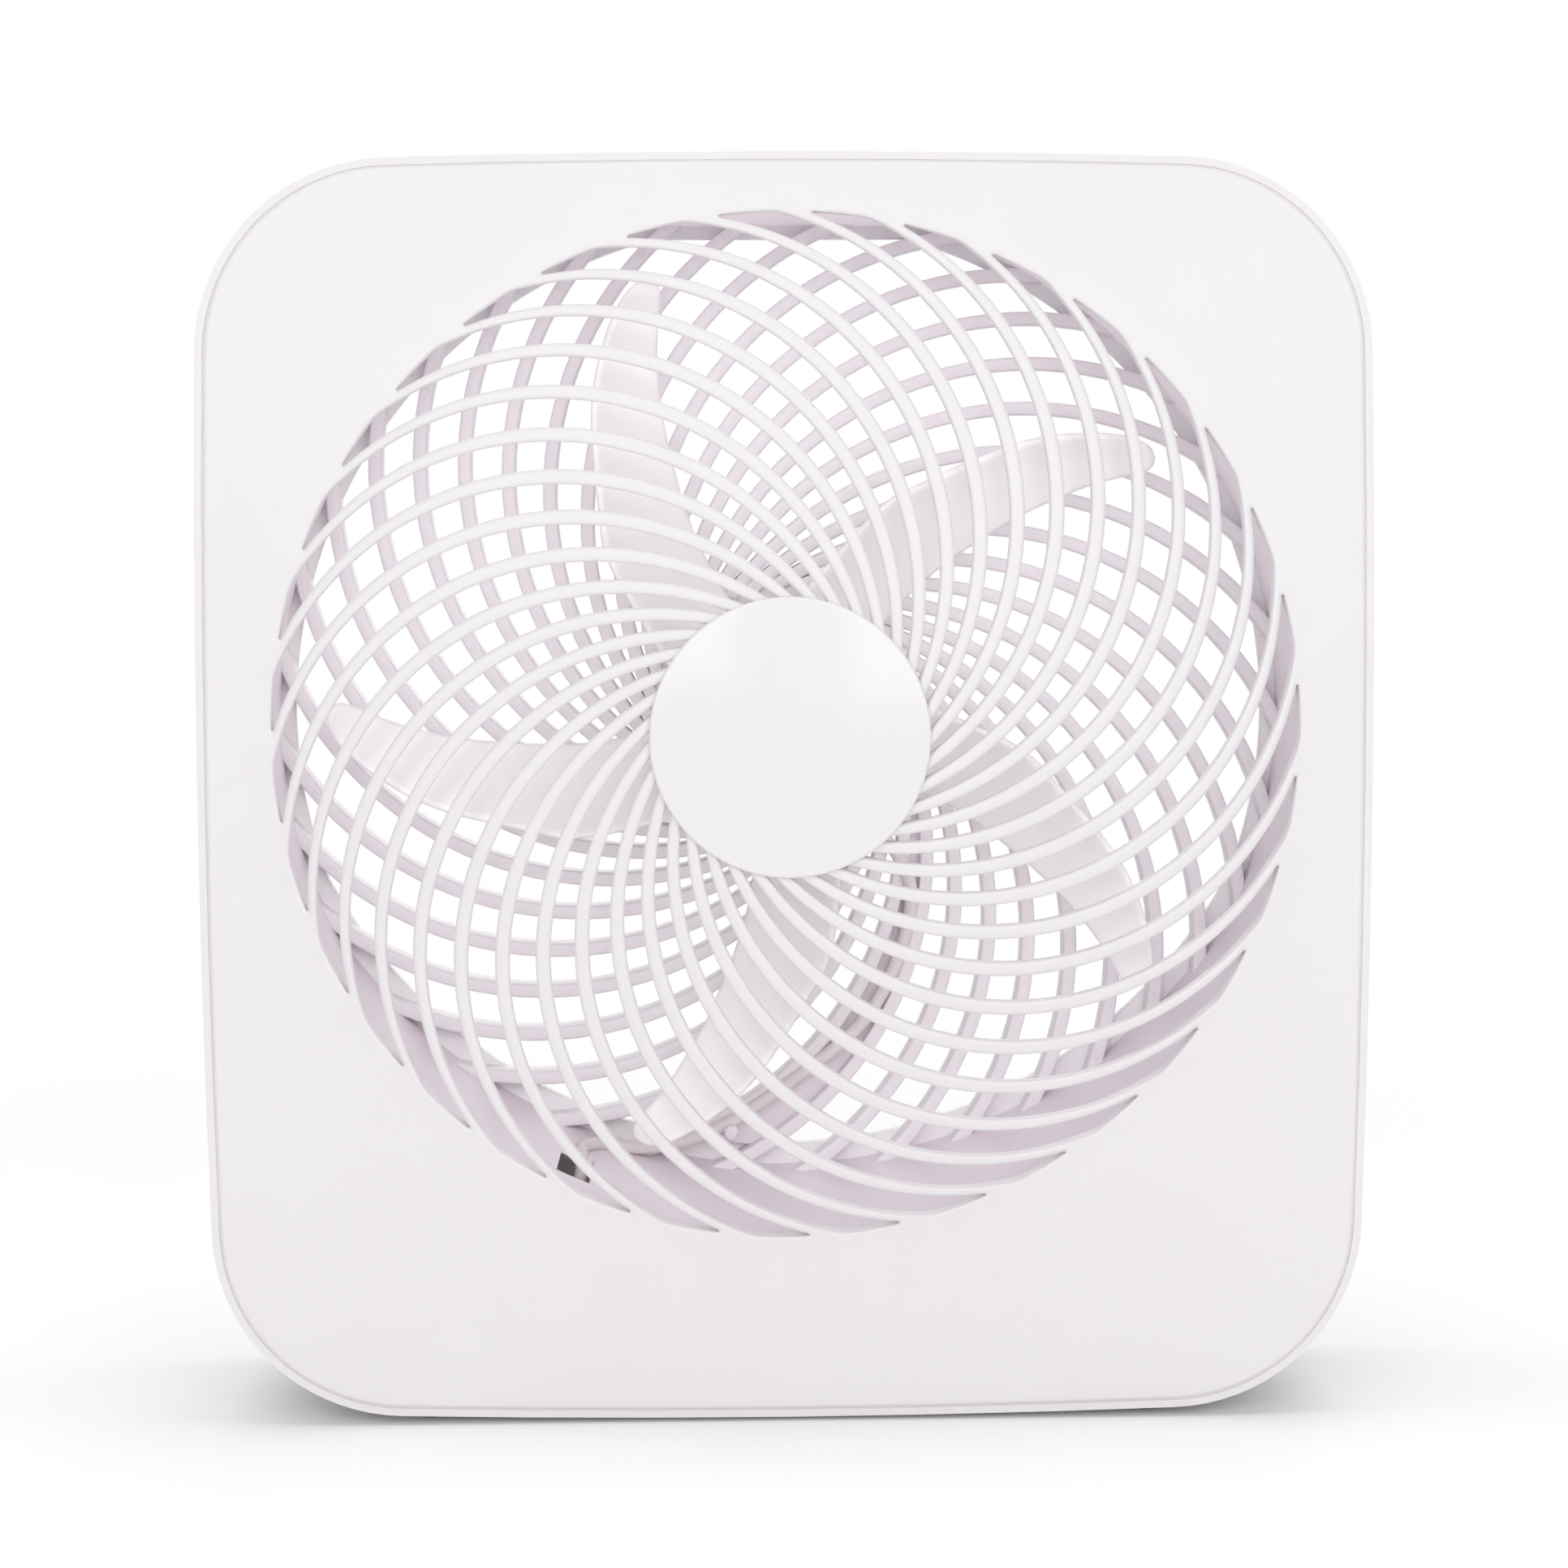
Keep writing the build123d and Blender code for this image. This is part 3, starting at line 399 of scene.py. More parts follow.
class Shell:
    """Closed mesh under construction. Loops are given from the fan axis, seen from the front."""

    def __init__(self) -> None:
        """Starts with no points and no faces."""
        self.points: list[Place] = []
        self.faces: list[tuple[int, ...]] = []

    def ring(self, loop: Iterable[Point], depth: Depth) -> list[int]:
        """Adds a loop of points.

        Args:
            loop: points from the fan axis.
            depth: their Y, or a function of x and z that gives it.

        Returns:
            The new points' numbers.
        """
        start = len(self.points)
        for x, z in loop:
            y = depth(x, z) if callable(depth) else depth
            self.points.append((x, y, FAN.axis_height + z))
        return list(range(start, len(self.points)))

    def bridge(self, first: Sequence[int], second: Sequence[int], closed: bool = True) -> None:
        """Joins two loops of equal count with four-sided faces.

        Args:
            first: numbers of the first loop's points.
            second: numbers of the second loop's points.
            closed: whether the last points are joined to the first.
        """
        count = len(first)
        for i in range(count if closed else count - 1):
            j = (i + 1) % count
            self.faces.append((first[i], first[j], second[j], second[i]))

    def stack(self, rings: Sequence[Sequence[int]]) -> None:
        """Joins a row of loops, each to the next."""
        for first, second in zip(rings, rings[1:]):
            self.bridge(first, second)

    def fan(self, ring: Sequence[int], middle: Place) -> None:
        """Closes a loop with triangles from a middle point."""
        self.points.append(middle)
        self.faces += [(a, b, len(self.points) - 1) for a, b in zip(ring, [*ring[1:], ring[0]])]

    def cap(self, ring: Sequence[int]) -> None:
        """Closes a loop with triangles from the mean of its points."""
        self.fan(ring, tuple(sum((Vector(self.points[i]) for i in ring), Vector()) / len(ring)))

    def plug(self, rings: Sequence[Sequence[int]]) -> None:
        """Joins a row of loops and closes both ends.

        Args:
            rings: numbers of the points of each loop.
        """
        self.stack(rings)
        self.cap(rings[0])
        self.cap(rings[-1])

    def fill(self, outer: Loop, holes: Sequence[Loop], depth: Depth) -> None:
        """Fills a flat or domed face that has holes.

        Args:
            outer: outer edge.
            holes: edges of the holes.
            depth: Y of the face, or a function of x and z that gives it.
        """
        flat, edges = [], []
        for loop in (outer, *holes):
            start, count = len(flat), len(loop)
            edges += [(start + i, start + (i + 1) % count) for i in range(count)]
            flat += [Vector(p) for p in loop]
        points, _, faces, *_ = delaunay_2d_cdt(flat, edges, [], 1, FILL_GAP)
        numbers = self.ring([p.to_tuple() for p in points], depth)
        for face in faces:
            middle = (sum((points[i] for i in face), Vector((0, 0))) / len(face)).to_tuple()
            if inside(middle, outer) and not any(inside(middle, hole) for hole in holes):
                self.faces.append(tuple(numbers[i] for i in face))

    def lathe(self, profile: Sequence[Point], steps: int) -> None:
        """Turns a profile of (radius, Y) points about the fan axis.

        Args:
            profile: points in order; a first or last radius of zero closes that end.
            steps: points round the axis.
        """
        rings = [self.ring(circle(radius, steps), y) for radius, y in profile if radius > 0]
        self.stack(rings)
        for ring, (radius, y) in ((rings[0], profile[0]), (rings[-1], profile[-1])):
            if radius == 0:
                self.fan(ring, (0.0, y, FAN.axis_height))

    def open_mesh(self, name: str, drop: float = 0.0) -> Mesh:
        """Makes the mesh as it is.

        Args:
            name: name of the mesh.
            drop: distance that it is moved down.

        Returns:
            The mesh.
        """
        made = bpy.data.meshes.new(name)
        made.from_pydata([(x, y, z - drop) for x, y, z in self.points], [], self.faces)
        return made

    def cell(self, name: str) -> Mesh:
        """Makes the mesh that a pattern repeats, given from the fan axis."""
        return self.open_mesh(name, FAN.axis_height)

    def mesh(self, name: str) -> Mesh:
        """Makes the mesh, with doubles merged and faces turned outwards."""
        return seal([self.open_mesh(name)], name)


def seal(meshes: Sequence[Mesh], name: str) -> Mesh:
    """Joins meshes into one, merges doubles and turns faces outwards.

    Args:
        meshes: what goes in.
        name: name of the joined mesh.

    Returns:
        The joined mesh.
    """
    work = bmesh.new()
    for mesh in meshes:
        work.from_mesh(mesh)
    bmesh.ops.remove_doubles(work, verts=work.verts, dist=WELD)
    bmesh.ops.recalc_face_normals(work, faces=work.faces)
    made = bpy.data.meshes.new(name)
    work.to_mesh(made)
    work.free()
    return made


def add_piece(name: str, mesh: Mesh, finish: Finish, body: Body, stands_for: Sequence[str],
              sharp: float = SHARP) -> None:
    """Puts a finished mesh in the scene as a piece of the fan.

    Args:
        name: name of the piece.
        mesh: its mesh, in place.
        finish: its material.
        body: body that it moves with.
        stands_for: solids that it is shown instead of.
        sharp: edges that turn more than this many degrees stay sharp.
    """
    mesh.materials.clear()
    mesh.materials.append(finish.material())
    mesh.shade_smooth()
    mesh.set_sharp_from_angle(angle=math.radians(sharp))
    piece = bpy.data.objects.new(name, mesh)
    bpy.context.scene.collection.objects.link(piece)
    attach(piece, body.value)
    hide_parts(*stands_for)
    LOG.info("%s: %d faces", name, len(mesh.polygons))


class Pattern:
    """Geometry Nodes trees that repeat a shape round the fan axis."""

    shared = {"Count": "Int", "Axis Height": "Float", "Weld": "Float", "Finish": "Material"}

    def __init__(self) -> None:
        """Builds the two trees."""
        self.cells = self.cell_tree()
        self.ribs = self.rib_tree()

    def sockets(self, name: str,
                inputs: dict[str, str]) -> tuple[bpy.types.NodeTree, Graph, dict[str, Socket]]:
        """Starts a tree with named inputs and one geometry output.

        Args:
            name: name of the tree.
            inputs: socket kind by input name, beside the shared ones.

        Returns:
            The tree, its graph and its inputs by name.
        """
        tree = bpy.data.node_groups.new(name, "GeometryNodeTree")
        for label, kind in ({"Cell": "Geometry"} | self.shared | inputs).items():
            tree.interface.new_socket(label, in_out="INPUT", socket_type=f"NodeSocket{kind}")
        tree.interface.new_socket("Pattern", in_out="OUTPUT", socket_type="NodeSocketGeometry")
        graph = Graph(tree)
        return tree, graph, {socket.name: socket for socket in graph.add("NodeGroupInput").outputs}

    def repeat(self, graph: Graph, given: dict[str, Socket], shape: Socket) -> None:
        """Repeats a shape round the axis, joins the copies and ends the tree.

        Args:
            graph: graph of the tree.
            given: its inputs by name.
            shape: geometry that is repeated.
        """
        centre = graph.flow("ShaderNodeCombineXYZ", Z=given["Axis Height"])
        spots = graph.flow("GeometryNodePoints", Count=given["Count"], Position=centre)
        step = graph.math("DIVIDE", 2 * math.pi, given["Count"])
        turn = graph.math("MULTIPLY", graph.flow("GeometryNodeInputIndex"), step)
        spin = graph.flow("FunctionNodeEulerToRotation", Euler=graph.flow("ShaderNodeCombineXYZ", Y=turn))
        copies = graph.flow("GeometryNodeInstanceOnPoints", Points=spots, Instance=shape, Rotation=spin)
        real = graph.flow("GeometryNodeRealizeInstances", Geometry=copies)
        weld = graph.flow("GeometryNodeMergeByDistance", Geometry=real, Distance=given["Weld"])
        coat = graph.flow("GeometryNodeSetMaterial", Geometry=weld, Material=given["Finish"])
        graph.add("NodeGroupOutput", Pattern=coat)

    def cell_tree(self) -> bpy.types.NodeTree:
        """Builds the tree that repeats the object's own mesh, which is given from the fan axis.

        Returns:
            The tree.
        """
        tree, graph, given = self.sockets("cells_round_axis", {})
        self.repeat(graph, given, given["Cell"])
        return tree

    def rib_tree(self) -> bpy.types.NodeTree:
        """Builds the tree that sweeps one arc-shaped rib, ends it on a round wall and repeats it.

        Returns:
            The tree.
        """
        tree, graph, given = self.sockets("spiral_ribs", {
            "Steps": "Int", "Arc Radius": "Float", "Arc Centre": "Vector", "Start Angle": "Float",
            "Sweep": "Float", "Rib Width": "Float", "Rib Depth": "Float", "Edge Round": "Float",
            "Edge Steps": "Int", "Wall Radius": "Float"})
        arc = graph.flow("GeometryNodeCurveArc", Resolution=given["Steps"], Radius=given["Arc Radius"],
                         Start_Angle=given["Start Angle"], Sweep_Angle=given["Sweep"])
        upright = graph.add("GeometryNodeSetCurveNormal", Curve=arc)
        upright.mode = "Z_UP"
        section = graph.flow("GeometryNodeCurvePrimitiveQuadrilateral", Width=given["Rib Width"],
                             Height=given["Rib Depth"])
        soft = graph.add("GeometryNodeFilletCurve", Curve=section, Radius=given["Edge Round"])
        soft.mode = "POLY"
        graph.set(soft.inputs["Count"], given["Edge Steps"])
        swept = graph.flow("GeometryNodeCurveToMesh", Curve=upright.outputs[0],
                           Profile_Curve=soft.outputs[0], Fill_Caps=True)
        stand = graph.flow("GeometryNodeTransform", Geometry=swept, Translation=given["Arc Centre"],
                           Rotation=(math.pi / 2, 0.0, 0.0))
        position = graph.flow("GeometryNodeInputPosition")
        x, y, z = graph.add("ShaderNodeSeparateXYZ", Vector=position).outputs
        square = graph.math("ADD", graph.math("MULTIPLY", x, x), graph.math("MULTIPLY", z, z))
        share = graph.math("DIVIDE", given["Wall Radius"], graph.math("SQRT", square))
        share = graph.math("MINIMUM", share, 1.0)
        held = graph.flow("ShaderNodeCombineXYZ", X=graph.math("MULTIPLY", x, share), Y=y,
                          Z=graph.math("MULTIPLY", z, share))
        self.repeat(graph, given, graph.flow("GeometryNodeSetPosition", Geometry=stand, Position=held))
        return tree

    def bake(self, tree: bpy.types.NodeTree, cell: Mesh, finish: Finish, **values: object) -> Mesh:
        """Runs a tree on a mesh and keeps the result as a plain mesh.

        Args:
            tree: one of the two trees.
            cell: mesh that the tree starts from.
            finish: material of the result.
            values: other inputs by name, with _ for a space.

        Returns:
            The repeated mesh, in place.
        """
        holder = bpy.data.objects.new("pattern", cell)
        bpy.context.scene.collection.objects.link(holder)
        modifier = holder.modifiers.new("pattern", "NODES")
        modifier.node_group = tree
        names = {item.name: item.identifier for item in tree.interface.items_tree if item.in_out == "INPUT"}
        given = {"Axis Height": FAN.axis_height, "Weld": WELD, "Finish": finish.material()}
        given |= {name.replace("_", " "): value for name, value in values.items()}
        for name, value in given.items():
            modifier[names[name]] = value
        ready = holder.evaluated_get(bpy.context.evaluated_depsgraph_get())
        made = bpy.data.meshes.new_from_object(ready)
        holder.modifiers.remove(modifier)
        bpy.data.objects.remove(holder)
        return made


@dataclass(frozen=True)
class Outline:
    """Bowed square with round corners, the shape of the panel."""

    half_width: float = FAN.half_width
    top: float = FAN.top_rise
    base: float = FAN.base_drop
    bow: float = FAN.edge_bow
    corner: float = FAN.corner
    side_steps: int = 14
    corner_steps: int = 18

    def loop(self, inset: float) -> Loop:
        """Points of the outline, moved inwards.

        Args:
            inset: distance moved inwards.

        Returns:
            The loop, counter-clockwise seen from the front.
        """
        side, top, base = self.half_width - inset, self.top - inset, -self.base + inset
        middle, soft = (top + base) / 2, self.corner - inset
        tall, wide = (top - base) / 2 - self.bow, side - self.bow
        side_radius = (tall**2 + self.bow**2) / (2 * self.bow)
        top_radius = (wide**2 + self.bow**2) / (2 * self.bow)
        side_centre, top_centre = (side - side_radius, middle), (0.0, top - top_radius)
        corner = circles_meet(side_centre, side_radius - soft, top_centre, top_radius - soft, (side, top))
        low = math.atan2(corner[1] - side_centre[1], corner[0] - side_centre[0])
        high = math.atan2(corner[1] - top_centre[1], corner[0] - top_centre[0])
        runs = (
            (side_centre, side_radius, 0.0, low, self.side_steps),
            (corner, soft, low, high, self.corner_steps),
            (top_centre, top_radius, high, math.pi / 2, self.side_steps),
        )
        quarter = [
            (c[0] + r * math.cos(a + (b - a) * i / n), c[1] + r * math.sin(a + (b - a) * i / n))
            for c, r, a, b, n in runs
            for i in range(n)
        ]
        quarter.append((0.0, top))
        upper = quarter + [(-x, z) for x, z in reversed(quarter[:-1])]
        return upper + [(x, 2 * middle - z) for x, z in reversed(upper[1:-1])]


@dataclass(frozen=True)
class Arc:
    """Part of a slot's edge, which keeps its centre when the edge is moved into the material."""

    centre: Point
    radius: float
    growth: float
    start: Point
    end: Point
    steps: int

    def points(self, inset: float = 0.0) -> Loop:
        """Points along the arc without its last one.

        Args:
            inset: distance moved into the material.

        Returns:
            The points in order.
        """
        first = math.atan2(self.start[1] - self.centre[1], self.start[0] - self.centre[0])
        last = math.atan2(self.end[1] - self.centre[1], self.end[0] - self.centre[0])
        swing, radius = wrap(last - first), self.radius + self.growth * inset
        return [
            (self.centre[0] + radius * math.cos(first + swing * i / self.steps),
             self.centre[1] + radius * math.sin(first + swing * i / self.steps))
            for i in range(self.steps)
        ]


def joined(arcs: Sequence[Arc], inset: float) -> Loop:
    """Points along a row of arcs that are moved into the material by the same distance."""
    return [point for arc in arcs for point in arc.points(inset)]


@dataclass(frozen=True)
class Spiral:
    """Plan of a grille's ribs: equal arcs repeated round the fan axis.

    The widths are pairs of distance from the axis and rib width, for ribs that taper.
    """

    radius: float
    offset: float
    turn: float
    hand: int
    widths: tuple[Point, ...] = ()
    count: int = FAN.rib_count

    def heading(self, rib: int) -> float:
        """Direction of a rib's arc centre, in radians counter-clockwise from the right."""
        return math.radians(90 - self.turn) + 2 * math.pi * rib / self.count

    def centre(self, rib: int) -> Point:
        """Centre of a rib's arc."""
        return self.offset * math.cos(self.heading(rib)), self.offset * math.sin(self.heading(rib))

    def angle(self, rib: int, reach: float) -> float:
        """Angle about the arc's centre at which a rib is a given distance from the axis."""
        share = (reach**2 - self.offset**2 - self.radius**2) / (2 * self.offset * self.radius)
        return self.heading(rib) + self.hand * math.acos(max(-1.0, min(1.0, share)))

    def at(self, rib: int, reach: float, aside: float = 0.0) -> Point:
        """Finds a point on a rib's middle line, or beside it.

        Args:
            rib: number of the rib.
            reach: the middle line's distance from the axis there.
            aside: distance moved away from the arc's centre.

        Returns:
            The point.
        """
        centre, angle, radius = self.centre(rib), self.angle(rib, reach), self.radius + aside
        return centre[0] + radius * math.cos(angle), centre[1] + radius * math.sin(angle)

    def edge(self, rib: int, way: int) -> tuple[Point, float]:
        """Circle that a rib's edge follows, away from the arc's centre for way 1 or towards it for -1."""
        return circle_through(*(self.at(rib, reach, way * width / 2) for reach, width in self.widths))


@dataclass(frozen=True)
class FrontPanel:
    """Front panel: round-edged plate, domed spiral grille and the grille's hub, in one moulding."""

    spiral: Spiral = Spiral(
        0.0979, 0.0727, -114.86, -1, ((0.0424, 0.0035), (0.11, 0.0045), (0.1608, 0.0025)))
    rise: float = 0.027
    dome_base: float = 0.166
    blend: float = 0.0016
    rib_depth: float = 0.0045
    deepen_outer: float = 0.153
    deepen_inner: float = 0.047
    lip_width: float = 0.0014
    lip_depth: float = 0.0012
    chamfer: float = 0.0003
    wide_corner: float = 0.016
    tight_corner: float = 0.0004
    hub_wall: float = 0.0026
    hub_depth: float = 0.008
    hub_recess: float = 0.005
    rib_end: float = 0.164
    outer_rings: tuple[float, ...] = (0.1665, 0.169)
    face_ring: float = 0.1712
    collar: float = 0.1634
    collar_y: float = -0.0228
    skirt_y: float = -0.0159
    skirt_wall: float = 0.002
    inset: float = 0.0028
    edge_round: float = 0.0015
    edge_border: float = 0.0008
    seam: float = 0.00232
    seam_lip: float = 0.00008
    seam_depth: float = 0.0008
    round_steps: int = 5
    slot_steps: tuple[int, ...] = (62, 8, 10, 4)
    border_steps: int = 60
    end_steps: int = 6

    def lift(self, reach: float) -> float:
        """Finds the height of the grille's front over the panel face.

        Args:
            reach: distance from the fan axis.

        Returns:
            The height, blended into the face at the dome's edge.
        """
        ball = (self.dome_base**2 + self.rise**2) / (2 * self.rise)
        dome = math.sqrt(ball**2 - reach**2) - (ball - self.rise)
        if abs(dome) < self.blend:
            return (dome + self.blend) ** 2 / (4 * self.blend)
        return max(dome, 0.0)

    def front(self, x: float, z: float, drop: float = 0.0) -> float:
        """Y of the front surface, or of a level that lies a drop behind it."""
        return FAN.face_y - self.lift(math.hypot(x, z)) + drop

    def rear(self, x: float, z: float, drop: float = 0.0) -> float:
        """Finds Y of the surface behind the ribs, which deepens into the collar and the hub.

        Args:
            x: distance to the right of the axis.
            z: distance over the axis.
            drop: how far the level lies behind that surface.

        Returns:
            The level's Y.
        """
        reach = math.hypot(x, z)
        outer = ease((reach - self.deepen_outer) / (FAN.opening - self.deepen_outer))
        inner = ease((self.deepen_inner - reach) / (self.deepen_inner - FAN.hub_radius))
        y = self.front(x, z) + self.rib_depth
        y += (self.collar_y - y) * outer
        return y + (FAN.hub_front_y + self.hub_depth - y) * inner + drop

    def slot(self) -> list[Arc]:
        """Edge of the slot between the first two ribs.

        Returns:
            The arcs in order round the slot.
        """
        plan = self.spiral
        probe = Vector(plan.at(1, plan.widths[1][0])) - Vector(plan.centre(0))
        outward = 1 if probe.length > plan.radius else -1
        sides = ((*plan.edge(0, outward), outward), (*plan.edge(1, -outward), -outward))
        softs = {}
        for rib, (centre, radius, way) in enumerate(sides):
            edge, hub = Vector(plan.at(rib, FAN.opening)), Vector(centre)
            wide = ((edge - hub).normalized() * way).dot(edge.normalized()) < 0
            for name, reach, soft, sign in (
                ("out", FAN.opening, self.wide_corner if wide else self.tight_corner, -1),
                ("in", FAN.hub_radius, self.tight_corner, 1),
            ):
                near = plan.at(rib, reach)
                spot = circles_meet(centre, radius + way * soft, AXIS, reach + sign * soft, near)
                touch = hub + (Vector(spot) - hub).normalized() * radius
                rim = Vector(spot).normalized() * reach
                softs[rib, name] = (spot, soft, touch.to_tuple(), rim.to_tuple())
        out0, out1, in0, in1 = softs[0, "out"], softs[1, "out"], softs[0, "in"], softs[1, "in"]
        along, turn, across, tight = self.slot_steps
        return [
            Arc(*sides[0][:2], -sides[0][2], in0[2], out0[2], along),
            Arc(out0[0], out0[1], 1, out0[2], out0[3], turn),
            Arc(AXIS, FAN.opening, 1, out0[3], out1[3], across),
            Arc(out1[0], out1[1], 1, out1[3], out1[2], turn),
            Arc(*sides[1][:2], -sides[1][2], out1[2], in1[2], along),
            Arc(in1[0], in1[1], 1, in1[2], in1[3], tight),
            Arc(AXIS, FAN.hub_radius, -1, in1[3], in0[3], tight),
            Arc(in0[0], in0[1], 1, in0[3], in0[2], tight),
        ]

    def border(self, reach: float) -> tuple[Loop, Loop]:
        """Edge of one cell of the grille, from one rib's middle to the next.

        Args:
            reach: distance from the axis at which the cell ends.

        Returns:
            The closed edge, and its run along the outer end.
        """
        inner, turn, steps = FAN.hub_radius - self.hub_wall, min(reach, self.rib_end), self.border_steps
        sides = []
        for rib in (0, 1):
            side = [self.spiral.at(rib, inner + (turn - inner) * i / steps) for i in range(steps + 1)]
            last = Vector(side[-1]).normalized()
            side += [(last * r).to_tuple() for r in (*self.outer_rings, self.face_ring) if r <= reach]
            sides.append(side)
        ends = []
        for first, last, radius in ((sides[0][-1], sides[1][-1], reach), (sides[1][0], sides[0][0], inner)):
            ends.append(Arc(AXIS, radius, 0, first, last, self.end_steps).points()[1:])
        return sides[0] + ends[0] + sides[1][::-1] + ends[1], [sides[0][-1], *ends[0]]

    def cell(self) -> Mesh:
        """One slot with half a rib either side, given from the fan axis.

        Returns:
            The open mesh that the pattern repeats.
        """
        shell, arcs, chamfer = Shell(), self.slot(), self.chamfer
        rings = [
            shell.ring(joined(arcs, inset), partial(self.front, drop=drop))
            for inset, drop in quarter_round(self.lip_width, self.lip_depth, self.round_steps)
        ]
        rings.append(shell.ring(joined(arcs, 0.0), partial(self.rear, drop=-chamfer)))
        rings.append(shell.ring(joined(arcs, chamfer), self.rear))
        shell.stack(rings)
        shell.fill(self.border(self.face_ring)[0], [joined(arcs, self.lip_width)], self.front)
        shell.fill(self.border(self.collar)[0], [joined(arcs, chamfer)], self.rear)
        return shell.cell("grille_cell")

    def around(self, run: Loop) -> Loop:
        """Repeats the run along a cell's outer end into a whole circle.

        Args:
            run: points of one cell.

        Returns:
            The points of every cell in order.
        """
        turns = [2 * math.pi * rib / self.spiral.count for rib in range(self.spiral.count)]
        return [
            (x * math.cos(a) - z * math.sin(a), x * math.sin(a) + z * math.cos(a))
            for a in turns
            for x, z in run
        ]

    def plate(self) -> Mesh:
        """Face, edge, skirt and back of the panel, with its collar and the hub's floor.

        Returns:
            The mesh that closes the grille.
        """
        shell, outline = Shell(), Outline()
        face_ring, collar = (self.around(self.border(reach)[1]) for reach in (self.face_ring, self.collar))
        border = outline.loop(self.inset + self.edge_round + self.edge_border)
        skirt = outline.loop(self.inset + self.skirt_wall)
        rings = [shell.ring(border, FAN.face_y)]
        for inset, drop in quarter_round(self.edge_round, self.edge_round, self.round_steps):
            rings.append(shell.ring(outline.loop(self.inset + inset), FAN.face_y + drop))
        low = FAN.face_y + self.edge_round
        deep = low + self.seam_depth
        for inset, y in ((self.seam, low + self.seam_lip), (self.seam, deep), (self.inset, deep),
                         (self.inset, self.skirt_y)):
            rings.append(shell.ring(outline.loop(inset), y))
        rings += [shell.ring(skirt, self.skirt_y), shell.ring(skirt, FAN.plate_y)]
        shell.stack(rings)
        shell.fill(border, [face_ring], FAN.face_y)
        shell.fill(skirt, [collar], FAN.plate_y)
        shell.bridge(shell.ring(collar, FAN.plate_y), shell.ring(collar, self.rear))
        inner = FAN.hub_radius - self.hub_wall
        ends = (self.spiral.at(rib, inner) for rib in (0, 1))
        hub = self.around(Arc(AXIS, inner, 0, *ends, self.end_steps).points())
        rim, floor = shell.ring(hub, self.front), shell.ring(hub, FAN.hub_front_y + self.hub_recess)
        shell.bridge(rim, floor)
        shell.cap(floor)
        shell.cap(shell.ring(hub, self.rear))
        return shell.open_mesh("panel_plate")

    def build(self, pattern: Pattern) -> None:
        """Builds the panel in place of its solid.

        Args:
            pattern: trees that repeat the grille's cell.
        """
        grille = pattern.bake(pattern.cells, self.cell(), Finishes.PANEL, Count=self.spiral.count)
        mesh = seal([grille, self.plate()], "front_panel_moulding")
        add_piece("front_panel_moulding", mesh, Finishes.PANEL, Body.CASING, ["front_panel"])


@dataclass(frozen=True)
class HubCap:
    """Bare polished cap that clips on the grille's hub."""

    radius: float = 0.0431
    front_y: float = -0.0570836
    edge_y: float = -0.0534836
    crown: float = 0.0018
    wall: float = 0.0018
    edge_round: float = 0.0011
    face_steps: int = 16
    round_steps: int = 6
    turn_steps: int = 128
    sharp: float = 40.0

    def face(self, reach: float) -> float:
        """Y of the crowned face at a distance from the axis."""
        ball = (self.radius**2 + self.crown**2) / (2 * self.crown)
        return self.front_y + ball - math.sqrt(ball**2 - reach**2)

    def build(self) -> None:
        """Turns the cap from its profile, in place of its solid."""
        flat, inner = self.radius - self.edge_round, self.radius - self.wall
        reaches = [flat * i / self.face_steps for i in range(self.face_steps + 1)]
        profile = [(reach, self.face(reach)) for reach in reaches]
        for inset, drop in quarter_round(self.edge_round, self.edge_round, self.round_steps)[1:]:
            profile.append((self.radius - inset, self.face(flat) + drop))
        profile += [(self.radius, self.edge_y), (inner, self.edge_y), (inner, self.face(inner) + self.wall)]
        profile.append((0.0, self.front_y + self.wall))
        shell = Shell()
        shell.lathe(profile, self.turn_steps)
        mesh = shell.mesh("hub_cap_bare")
        add_piece("hub_cap_bare", mesh, Finishes.CAP, Body.CASING, ["hub_cap"], self.sharp)


